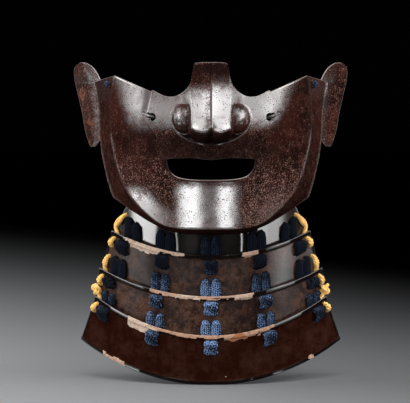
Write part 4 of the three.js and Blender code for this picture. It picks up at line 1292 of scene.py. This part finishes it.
def main_plate_polish(x, z, to_crease):
    """Where the rust is rubbed away: on the chin, along the jaw and on the brows."""
    lean = np.abs(x)
    left = x < 0
    chin = np.where(left, smooth_step(*CHIN_SHINE["left"], lean), smooth_step(*CHIN_SHINE["right"], lean))
    chin = chin * smooth_step(*CHIN_SHINE["top"], z)
    chin = chin * (1 - CHIN_SHINE["dip"] * np.exp(-((x / CHIN_SHINE["dip_wide"]) ** 2)))
    jaw = smooth_step(*JAW_SHINE["inward"], to_crease) * smooth_step(*JAW_SHINE["top"], z)
    jaw = jaw * smooth_step(*JAW_SHINE["side"], lean) * np.where(left, 1.0, JAW_SHINE["right"])
    start, slope, level = (np.where(left, *pair) for pair in zip(BROW_SHINE["left"], BROW_SHINE["right"]))
    brow = lean - start - slope * (z - level)
    brow = smooth_step(*BROW_SHINE["low"], z) * smooth_step(*BROW_SHINE["fade"], brow)
    return np.maximum.reduce([chin, jaw, brow])


def main_plate_shade_and_darkening(x, z):
    """Painted shadow beside the nose plate, stronger on the left, a darker oval on each cheek and, in the
    last two rows, darker sides of the mouth.
    """
    lean = np.abs(x)
    beside = lean - SIDE_LINE("x", z) - SEAM_SHADOW["out"]
    wide = SEAM_SHADOW["wide"] + SEAM_SHADOW["spread"] * (z - SEAM_SHADOW["z"])
    seam = np.exp(-((beside / wide) ** 4)) * smooth_step(*SEAM_SHADOW["low"], z)
    seam = seam * np.where(x < 0, SEAM_SHADOW["left"], SEAM_SHADOW["right"])
    shade_and_darkening = np.maximum(seam, CHEEK_DARK["most"] * np.exp(-(oval(lean, z, CHEEK_DARK) ** 2)))
    rim = z[:, -2:]
    shade_and_darkening[:, -2:] = MOUTH_DARK["most"] * smooth_step(*MOUTH_DARK["low"], rim)
    shade_and_darkening[:, -2:] *= smooth_step(*MOUTH_DARK["high"], rim)
    return shade_and_darkening


def main_plate_marks(points, to_crease):
    x, z = points[..., 0], points[..., 2]
    lean = np.abs(x)
    inside = smooth_step(*CREASE_SPAN, to_crease)
    blur = JAW_BLUR["most"] * smooth_step(*JAW_BLUR["side"], lean) * smooth_step(*JAW_BLUR["top"], z)
    fleck = smooth_step(*JAW_FLECK["top"], z) * smooth_step(*JAW_FLECK["side"], lean) * inside
    right = smooth_step(*JAW_FLECK["right"], x) * smooth_step(*JAW_FLECK["right_top"], z)
    crease = CREASE_WEAR["most"] * np.exp(-((to_crease / CREASE_WEAR["wide"]) ** 2))
    crease = crease * smooth_step(*CREASE_WEAR["top"], z) * smooth_step(*CREASE_WEAR["side"], lean)
    crease[:, :2] = np.array(EDGE_WEAR["most"]) * smooth_step(*EDGE_WEAR["low"], z[:, :2])
    return {
        "shade_and_darkening": main_plate_shade_and_darkening(x, z),
        "rust": MAIN_RUST * (1 - main_plate_polish(x, z, to_crease) * inside),
        "blur": blur,
        "fleck": fleck * (1 + JAW_FLECK["right_more"] * right),
        "crease": crease,
    }


class FACEGUARD_OT_main_plate(bpy.types.Operator):
    """Cheeks, jaw and chin of russet iron round the mouth"""

    bl_idname = "face_guard.main_plate"
    bl_label = "Main Plate"

    def execute(self, context):
        points, to_crease = main_plate_grid()
        piece = russet_plate("russet_main_plate", points, SEEDS["main"], main_plate_marks(points, to_crease))
        tie = (*flange_spot(TIE["x"], TIE["z"]), TIE["hole"])
        cut_holes(piece, drill(both_sides([hook_spot("hole"), hook_spot("root"), tie])))
        cut_holes(piece, drill(both_sides([hook_spot("slot")])))
        finished(piece, russet_iron(), "russet_iron", "main_plate")
        return {"FINISHED"}


# Marks of the nose plate: the spans over which each comes in, and its strength
WING_PAINT = {"edge": (1.12, 0.96), "beyond": (1.0, 1.15), "rust": 0.93, "shine": 0.75, "blur": 0.3,
              "fleck": 0.1}
WING_SHINE = {"x": 23.8, "z": 77.6, "wide": 4.2, "tall": 4.6}
# painted shade inside the fold line under the nose, and in the hollows beside and below the wings
FOLD_SHADE = {"inside": (-0.8, -2.0), "shift": 1.2, "side": (27, 21), "top": (66, 58)}
HOLLOW_SHADE = {"top": (76, 70), "side": (13, 16)}
# painted shade in the groove down the nose
GROOVE_SHADE = {"wide": 0.8, "top": (114, 106), "low": (58, 62)}
BRIDGE_RUST = {"low": (88, 108), "left": 5.0, "right": -1.0, "fleck": 0.5}
LIP_RUST = {"top": (80, 64), "fold": (-1.5, 0.2), "line": 0.4, "line_wide": 0.7, "side": (21, 28),
            "fleck": 0.9}
# the dark share paints shade on the underside of the nose tip
TIP_RUST = {"under": (1.0, -1.5), "side": (17, 15), "most": 0.95, "dark": 0.6}
RIDGE_RUST = {"left": (-6.0, -2.5), "right": (0.4, 0.0), "low": (64, 70), "most": 0.5}
CLEFT_RUST = {"side": (3.4, 1.2), "top": (76, 66), "most": 0.9}
# painted shadow of the nose on the upper lip
LIP_SHADOW = {"top": (68, 58), "most": 0.85}
BRIDGE_DARK = {"low": (98, 112), "most": 0.95, "rim": (115, 116.4), "bare": 0.8}
TIP_GLINT = {"x": 6.8, "wide": 1.7, "fold": 0.7, "tall": 0.6, "top": (62, 58)}
WALL_BLUR = 1.5


def nose_plate_marks(points):
    x, z = points[..., 0], points[..., 2]
    lean = np.abs(x)
    fold = fold_distance(x, z)
    inside = fold - FOLD_SHADE["shift"] * smooth_step(*FOLD_SHADE["side"], lean)
    inside = smooth_step(*FOLD_SHADE["inside"], inside)
    wing = smooth_step(*WING_PAINT["edge"], oval(lean, z, WING))
    wing = wing * smooth_step(*WING_PAINT["beyond"], lean / NOSE("half", z))
    shine = np.exp(-(oval(lean, z, WING_SHINE) ** 2))
    # painted shade in the hollows round the wings and under the nose
    hollow = smooth_step(*HOLLOW_SHADE["top"], z) * (1 - wing) * smooth_step(*HOLLOW_SHADE["side"], lean)
    shade_and_darkening = inside * np.maximum(smooth_step(*FOLD_SHADE["top"], z), hollow)
    # painted shade along the groove
    groove = np.exp(-((x / GROOVE_SHADE["wide"]) ** 2)) * smooth_step(*GROOVE_SHADE["top"], z)
    groove = groove * smooth_step(*GROOVE_SHADE["low"], z)
    bridge = smooth_step(*BRIDGE_RUST["low"], z + np.where(x < 0, BRIDGE_RUST["left"], BRIDGE_RUST["right"]))
    lip = smooth_step(*LIP_RUST["top"], z) * smooth_step(*LIP_RUST["fold"], fold)
    line = np.exp(-((fold / LIP_RUST["line_wide"]) ** 2)) * smooth_step(*LIP_RUST["side"], lean)
    lip = lip * (1 - LIP_RUST["line"] * line)
    under = z - TIP["z"] - TIP["lift"] * ((lean - TIP["x"]) / TIP["x"]) ** 2
    tip = inside * smooth_step(*TIP_RUST["under"], under) * smooth_step(*TIP_RUST["side"], lean)
    ridge = smooth_step(*RIDGE_RUST["left"], x) * smooth_step(*RIDGE_RUST["right"], x)
    ridge = ridge * smooth_step(*RIDGE_RUST["low"], z)
    cleft = smooth_step(*CLEFT_RUST["side"], lean) * smooth_step(*CLEFT_RUST["top"], z)
    worn = [bridge, lip, TIP_RUST["most"] * tip, CLEFT_RUST["most"] * cleft, RIDGE_RUST["most"] * ridge]
    worn.append(wing * (WING_PAINT["rust"] - WING_PAINT["shine"] * shine))
    dark = BRIDGE_DARK["most"] * smooth_step(*BRIDGE_DARK["low"], z)
    # painted shadow of the nose on the upper lip
    dark = np.maximum(LIP_SHADOW["most"] * lip * smooth_step(*LIP_SHADOW["top"], z), dark)
    dark = dark * (1 - BRIDGE_DARK["bare"] * smooth_step(*BRIDGE_DARK["rim"], z))
    across = (lean - TIP_GLINT["x"]) / TIP_GLINT["wide"]
    glint = np.exp(-(across**2) - ((fold + TIP_GLINT["fold"]) / TIP_GLINT["tall"]) ** 2)
    plain = 1 - glint * smooth_step(*TIP_GLINT["top"], z)
    return {
        # painted shade and the darker bridge go into the darkening mark; the glints stay clear
        "shade_and_darkening": np.maximum.reduce([shade_and_darkening, groove, dark, TIP_RUST["dark"] * tip]) * plain,
        "rust": np.maximum.reduce(worn) * plain,
        "blur": np.maximum(WING_PAINT["blur"] * wing, WALL_BLUR * (wall_share(x, z) - wing)),
        "fleck": np.maximum.reduce(
            [LIP_RUST["fleck"] * lip, WING_PAINT["fleck"] * wing, BRIDGE_RUST["fleck"] * bridge]
        ),
    }


class FACEGUARD_OT_nose_plate(bpy.types.Operator):
    """Removable nose with its wings and upper lip"""

    bl_idname = "face_guard.nose_plate"
    bl_label = "Nose Plate"

    def execute(self, context):
        points = nose_plate_grid()
        piece = russet_plate("russet_nose_plate", points, SEEDS["nose"], nose_plate_marks(points))
        for word in ("hole", "slot"):
            cut_holes(piece, drill(both_sides([hook_spot(word)])))
        finished(piece, russet_iron(), "russet_iron", "nose_plate")
        return {"FINISHED"}


class FACEGUARD_OT_nose_hooks(bpy.types.Operator):
    """Wire hooks that hold the nose plate"""

    bl_idname = "face_guard.nose_hooks"
    bl_label = "Nose Hooks"

    def execute(self, context):
        spots = {word: hook_spot(word)[0] for word in ("root", "hole")}
        spots["hole"] = spots["hole"] - (0.0, NOSE_LIFT, 0.0)
        bends = np.array([spots[word] + (x, y, z) for word, x, y, z in HOOK_PATH])
        line = hermite(np.arange(len(bends)), bends, np.linspace(0, len(bends) - 1, HOOK_STEPS))
        for word, side in SIDES.items():
            lines = [line * (side, 1, 1)]
            radius = HOOK["wire"] / 2
            piece = strands_object(f"iron_hook_{word}", lines, radius, STRAND_SIDES["hook"], hook_wire())
            finished(piece, hook_wire(), "hook_wire", f"nose_hook_{word}")
        return {"FINISHED"}


class FACEGUARD_OT_corner_ties(bpy.types.Operator):
    """Knotted stubs of blue cord in the temple holes"""

    bl_idname = "face_guard.corner_ties"
    bl_label = "Corner Ties"

    def execute(self, context):
        place, way = flange_spot(TIE["x"], TIE["z"])
        up = np.array([0.0, 0.0, 1.0])
        knot = knot_line(place + way * TIE["lift"], np.cross(way, up), up, way, TIE["reach"])
        neck = place + way * np.linspace(TIE["lift"], -TIE["depth"], TIE_STEPS)[:, None]
        for word, side in SIDES.items():
            lines = []
            for line, reach in ((knot, TIE["knot"]), (neck, TIE["neck"])):
                lines += twist(line * (side, 1, 1), TIE["plies"], TIE["pitch"], reach)
            count = sum(len(line) for line in lines)
            marks = {"fade_and_shade": np.full(count, TIE["fade_and_shade"]), "top": np.full(count, TIE["top"])}
            name = f"temple_knot_{word}"
            piece = strands_object(name, lines, TIE["ply"], STRAND_SIDES["tie"], indigo_braid(), marks)
            finished(piece, indigo_braid(), "blue_braid", f"corner_tie_{word}")
        return {"FINISHED"}


# Marks of the ears: rust that thins towards the cheek, and orange patches towards the outer edge
EAR_RUST = {"most": 0.97, "span": (0.55, 0.3), "left": 0.35, "right": 0.1}
EAR_PATCH = {"span": (0.35, 0.6), "left": 1.0, "right": 0.3}
EAR_FLECK = 0.5


class FACEGUARD_OT_ears(bpy.types.Operator):
    """Leaf-shaped ear plates behind the cheeks"""

    bl_idname = "face_guard.ears"
    bl_label = "Ears"

    def execute(self, context):
        points = ear_grid()
        for word, side in SIDES.items():
            sided = points if side > 0 else points[::-1] * (-1, 1, 1)
            share = np.linspace(0, 1, len(points))[:, None]
            share = share if side > 0 else 1 - share
            rust = EAR_RUST["most"] - EAR_RUST[word] * smooth_step(*EAR_RUST["span"], share)
            patch = EAR_PATCH[word] * smooth_step(*EAR_PATCH["span"], share)
            marks = {"rust": rust, "fleck": EAR_FLECK, "patch": patch}
            piece = russet_plate(f"russet_ear_{word}", sided, SEEDS["ear"] + side, marks)
            finished(piece, russet_iron(), "russet_iron", f"ear_{word}")
        return {"FINISHED"}


# Finish of each lame; clear thins the haze at the right, and gloss is what the left and right ends keep
LAME_FINISH = [
    {"haze": 0.0, "end_haze": 0.3, "clear": 0.0, "red": 0.0, "dull": 0.0, "gloss": (0.0, 0.0)},
    {"haze": 0.62, "end_haze": 0.0, "clear": 0.0, "red": 0.35, "dull": 0.93, "gloss": (0.12, 1.2)},
    {"haze": 0.72, "end_haze": 0.0, "clear": 0.4, "red": 0.5, "dull": 0.95, "gloss": (0.05, 0.22)},
    {"haze": 0.12, "end_haze": 0.0, "clear": 0.0, "red": 1.0, "dull": 1.04, "gloss": (0.0, 0.0)},
]
HAZE_SPAN = {"end": (34, 46), "clear_left": (-5, 25), "clear_right": (75, 50), "gloss": (38, 62)}
RIM_SPAN = {"top": (2.2, 3.4), "end": (1.4, 2.4), "bottom": (2.0, 3.0)}
RIM_DULL = {"most": 0.92, "gloss": 0.9, "edge": (1.0, 0.4), "side": (40, 52)}


def lame_marks(index, points, to_top, to_bottom, to_end):
    """Wear, haze, dullness and redness of a lame; its rims are dull, with a glossy line at the ends."""
    finish = LAME_FINISH[index]
    x = points[..., 0]
    lean = np.abs(x)
    worn, tone = lame_wear(index, points, to_top, to_bottom)
    inner = np.ones(to_top.shape)
    near = to_top
    if index > 0:
        inner = smooth_step(*RIM_SPAN["top"], to_top) * smooth_step(*RIM_SPAN["end"], to_end)
    if index == LAST_LAME:
        inner = inner * smooth_step(*RIM_SPAN["bottom"], to_bottom)
        near = np.minimum(to_top, to_bottom)
    clear = smooth_step(*HAZE_SPAN["clear_left"], x) * smooth_step(*HAZE_SPAN["clear_right"], x)
    haze = finish["haze"] + finish["end_haze"] * smooth_step(*HAZE_SPAN["end"], lean)
    haze = haze * (1 - finish["clear"] * clear)
    ends = 1 - np.where(x < 0, *finish["gloss"]) * smooth_step(*HAZE_SPAN["gloss"], lean)
    line = smooth_step(*RIM_DULL["edge"], near) * smooth_step(*RIM_DULL["side"], lean)
    rims = RIM_DULL["most"] * (1 - inner) * (1 - RIM_DULL["gloss"] * line)
    return {
        "worn": worn,
        "tone": tone,
        "haze": haze * inner,
        "dull": finish["dull"] * inner * ends + rims,
        "red": finish["red"] * inner,
    }


class FACEGUARD_OT_lames(bpy.types.Operator):
    """Four lacquered lames of the throat guard"""

    bl_idname = "face_guard.lames"
    bl_label = "Lames"

    def execute(self, context):
        tree = cutter_tree()
        for index in range(len(LAMES)):
            points, *distances = lame_grid(index)
            marks = lame_marks(index, points, *distances)
            points = dented(points, SEEDS["lame"] + index, LAME_DENTS["apart"], LAME_DENTS["deep"])
            piece = plate(f"lacquer_lame_{index + 1}", points, LAME_WALL, LAME_EDGE, marks)
            places, along, inward, sizes = (np.array(part) for part in zip(*lacing_hole_spots(index)))
            directions = {"along": along, "inward": inward, "size": sizes}
            tool = mesh_object("lacing_holes", places, np.zeros((0, 4), int), directions)
            with_tree(tool, tree, {"Finish": brown_lacquer()})
            cut_holes(piece, tool)
            finished(piece, brown_lacquer(), "brown_lacquer", f"lame_{index + 1}")
        return {"FINISHED"}


# How far the columns of the lacing are faded; less high up, as painted shade where the mask shades them, and
# less in the crosses
FADE_AND_SHADE = {"columns": (0.30, 0.60, 1.0, 0.55, 0.34), "height": (-34, -62), "least": 0.25, "cross": 0.45,
        "cross_wide": (8.0, 10.0)}


class FACEGUARD_OT_lacing(bpy.types.Operator):
    """Five columns of indigo braid in pairs and crosses"""

    bl_idname = "face_guard.lacing"
    bl_label = "Lacing"

    def execute(self, context):
        sizes = context.scene.face_guard.cords
        for column, fade in enumerate(FADE_AND_SHADE["columns"]):
            lines = []
            lit_shares = []
            crossed = []
            for side in SIDES.values():
                cord = smooth_cord(braid_stops(column, side))
                laid, up = ridges(cord, sizes.ridges, sizes.pitch / MM, sizes.thick / MM)
                lines += laid
                lit_shares += up
                crossed += [smooth_step(*FADE_AND_SHADE["cross_wide"], cord[3])] * len(laid)
            height = np.concatenate(lines)[:, 2]
            # painted shade: the cords are darkened high up, under the mask
            lit = FADE_AND_SHADE["least"] + (1 - FADE_AND_SHADE["least"]) * smooth_step(*FADE_AND_SHADE["height"], height)
            fade_and_shade = fade * lit * (1 - FADE_AND_SHADE["cross"] * np.concatenate(crossed))
            # the top mark carries painted light on the plies
            marks = {"fade_and_shade": fade_and_shade, "top": np.concatenate(lit_shares)}
            name = f"indigo_lacing_{column + 1}"
            piece = strands_object(name, lines, sizes.ply / MM, STRAND_SIDES["braid"], indigo_braid(), marks)
            finished(piece, indigo_braid(), "blue_braid", f"lacing_{column + 1}")
        return {"FINISHED"}


class FACEGUARD_OT_edge_lacing(bpy.types.Operator):
    """Yellow cord down both ends of the lames, with a knot on the third"""

    bl_idname = "face_guard.edge_lacing"
    bl_label = "Edge Lacing"

    def execute(self, context):
        sizes = context.scene.face_guard.cords
        lame = KNOT["lame"]
        strand = sizes.gold_strand / MM
        for word, side in SIDES.items():
            cord = smooth_cord(edge_stops(side))
            lines = plait(cord, EDGE["strands"], sizes.gold_pitch / MM, strand, EDGE["thick"])
            angle = edge_angle(lame, side, KNOT["drop"]) + side * KNOT["shift"] / LAMES[lame]["radius"]
            drop = next_rim_drop(lame, angle) - KNOT["tall"] - 2 * GAP
            spot = stop(lame, angle, 0, drop, GAP + KNOT["out"], 0)
            out = np.array([math.sin(angle), -math.cos(angle), 0.0])
            across = spot[3:6]
            knot = knot_line(spot[:3], across, np.cross(out, across), out, KNOT["reach"])
            lines += twist(knot, KNOT["plies"], KNOT["pitch"], KNOT["ply"])
            piece = strands_object(f"gold_edge_cord_{word}", lines, strand, STRAND_SIDES["edge"], gold_cord())
            finished(piece, gold_cord(), "yellow_cord", f"edge_lacing_{word}")
        return {"FINISHED"}


# Photograph frame and the pixel on which the origin falls
FRAME_WIDE = 410
FRAME_TALL = 403
ORIGIN_PIXEL = (211.0, 218.7)
SENSOR = 36.0

# Floor: half its side, and how its pale colour is painted darker to the back and to the right, as painted
# shade, in metres
FLOOR = {"half": 6000.0, "slant": 1.6, "near": -0.78, "far": 1.5, "bend": 0.6}

# Soft boxes, each of nested sizes that blur it: azimuth, elevation, distance, width, height, brightness
SOFT = (0.55, 0.9, 1.3)
LIGHTS = [
    ("strip_left", -23, 5.8, 1.4, 0.32, 0.15, 31.0),
    ("strip_right", 17, 5.8, 1.4, 0.26, 0.15, 30.0),
    ("strip_fill", -3, 6.0, 1.5, 0.60, 0.12, 4.0),
    ("high_left", -40, 74, 1.5, 0.80, 0.70, 10.0),
    ("high_right", 40, 74, 1.5, 0.80, 0.70, 12.0),
    ("skirt_left", -84, 38, 1.4, 0.46, 0.46, 13.0),
    ("skirt_right", 78, 42, 1.4, 0.70, 0.55, 15.5),
    ("side_left", -71, 0, 1.4, 0.56, 0.16, 26.0),
    ("side_right", 62, 0, 1.4, 0.50, 0.16, 14.0),
    ("cheek_left", -49, 30, 1.4, 1.55, 0.54, 4.4),
    ("cheek_right", 37, 31, 1.4, 0.80, 0.40, 7.2),
    ("glint_left", -35, 0, 1.4, 0.03, 0.20, 9.0),
    ("glint_right", 31, 0, 1.4, 0.02, 0.20, 20.0),
    ("key", -112, 38, 1.5, 0.80, 0.80, 8.0),
    ("rear_right", 108, 36, 1.5, 0.60, 0.60, 5.0),
    ("back", 180, 40, 1.8, 1.0, 0.8, 2.0),
    ("rim_left", -122, 6, 1.4, 0.50, 0.50, 12.0),
    ("rim_right", 122, 6, 1.4, 0.50, 0.50, 16.0),
]


class FACEGUARD_OT_stage(bpy.types.Operator):
    """Pale floor painted darker to the back and right as painted shade, soft studio light and the camera"""

    bl_idname = "face_guard.stage"
    bl_label = "Stage"

    def execute(self, context):
        scene = context.scene
        stage = scene.face_guard.stage
        tints = scene.face_guard.finish
        self.camera(scene, stage)
        self.floor(tints)
        for row in LIGHTS:
            for share in SOFT:
                self.light(scene, stage, share, *row)
        world = bpy.data.worlds.new("studio")
        world.use_nodes = True
        world.node_tree.nodes["Background"].inputs["Color"].default_value = colour(tints.room)
        scene.world = world
        scene.view_settings.view_transform = "Standard"
        return {"FINISHED"}

    def camera(self, scene, stage):
        data = bpy.data.cameras.new("camera")
        data.sensor_width = SENSOR
        data.lens = stage.distance / stage.pixel / FRAME_WIDE * SENSOR
        ahead = np.array([0.0, math.cos(stage.pitch), -math.sin(stage.pitch)])
        up = np.array([0.0, math.sin(stage.pitch), math.cos(stage.pitch)])
        right_of = (FRAME_WIDE / 2 - ORIGIN_PIXEL[0]) * stage.pixel
        above = (ORIGIN_PIXEL[1] - FRAME_TALL / 2) * stage.pixel
        camera = bpy.data.objects.new("camera", data)
        camera.location = np.array([right_of, 0.0, 0.0]) + up * above - ahead * stage.distance
        camera.rotation_euler = (math.pi / 2 - stage.pitch, 0.0, 0.0)
        scene.collection.objects.link(camera)
        scene.camera = camera

    def floor(self, tints):
        half = FLOOR["half"]
        low = cad_low.z / MM
        corners = [(-half, -half, low), (half, -half, low), (half, half, low), (-half, half, low)]
        floor = mesh_object("floor", corners, [(0, 1, 2, 3)])

        def paint(nodes):
            spot = nodes.add("ShaderNodeSeparateXYZ", None, {0: nodes.place()}).socket.node.outputs
            # painted shade: the floor goes from pale near the mask to black far back and to the right
            away = Link(nodes, spot["Y"]) + Link(nodes, spot["X"]) * FLOOR["slant"]
            near = 1.0 - away.step(FLOOR["near"], FLOOR["far"])
            share = near * (near * FLOOR["bend"] + (1 - FLOOR["bend"]))
            tone = nodes.mix(share, (0.0, 0.0, 0.0, 1.0), colour(tints.floor))
            return {"Base Color": tone, "Roughness": 0.85, "Specular IOR Level": 0.0}

        floor.data.materials.append(new_material("pale_floor", paint))

    def light(self, scene, stage, share, name, azimuth, elevation, distance, wide, tall, bright):
        data = bpy.data.lights.new(name, "AREA")
        data.shape = "RECTANGLE"
        data.size = wide * share
        data.size_y = tall * share
        data.energy = bright / len(SOFT) * stage.light * math.pi * data.size * data.size_y
        box = bpy.data.objects.new(name, data)
        turn = math.radians(azimuth)
        lift = math.radians(elevation)
        box.location = (
            distance * math.sin(turn) * math.cos(lift),
            -distance * math.cos(turn) * math.cos(lift),
            distance * math.sin(lift),
        )
        box.rotation_euler = (math.pi / 2 - lift, 0.0, turn)
        box.visible_camera = False
        scene.collection.objects.link(box)


OPERATORS = (
    FACEGUARD_OT_stage,
    FACEGUARD_OT_main_plate,
    FACEGUARD_OT_nose_plate,
    FACEGUARD_OT_nose_hooks,
    FACEGUARD_OT_corner_ties,
    FACEGUARD_OT_ears,
    FACEGUARD_OT_lames,
    FACEGUARD_OT_lacing,
    FACEGUARD_OT_edge_lacing,
)


class FACEGUARD_PT_pieces(bpy.types.Panel):
    """Lists the pieces and the stage"""

    bl_idname = "FACEGUARD_PT_pieces"
    bl_label = "Face Guard"
    bl_space_type = "VIEW_3D"
    bl_region_type = "UI"
    bl_category = "Face Guard"

    def draw(self, context):
        for operator in OPERATORS:
            self.layout.operator(operator.bl_idname)


CLASSES = (MaskSizes, CordSizes, Finishes, StageSizes, FaceGuard, *OPERATORS, FACEGUARD_PT_pieces)


def register():
    for part in CLASSES:
        bpy.utils.register_class(part)
    bpy.types.Scene.face_guard = PointerProperty(type=FaceGuard)


def unregister():
    del bpy.types.Scene.face_guard
    for part in reversed(CLASSES):
        bpy.utils.unregister_class(part)


def main():
    register()
    for operator in OPERATORS:
        group, name = operator.bl_idname.split(".")
        getattr(getattr(bpy.ops, group), name)()


if __name__ == "__main__":
    main()
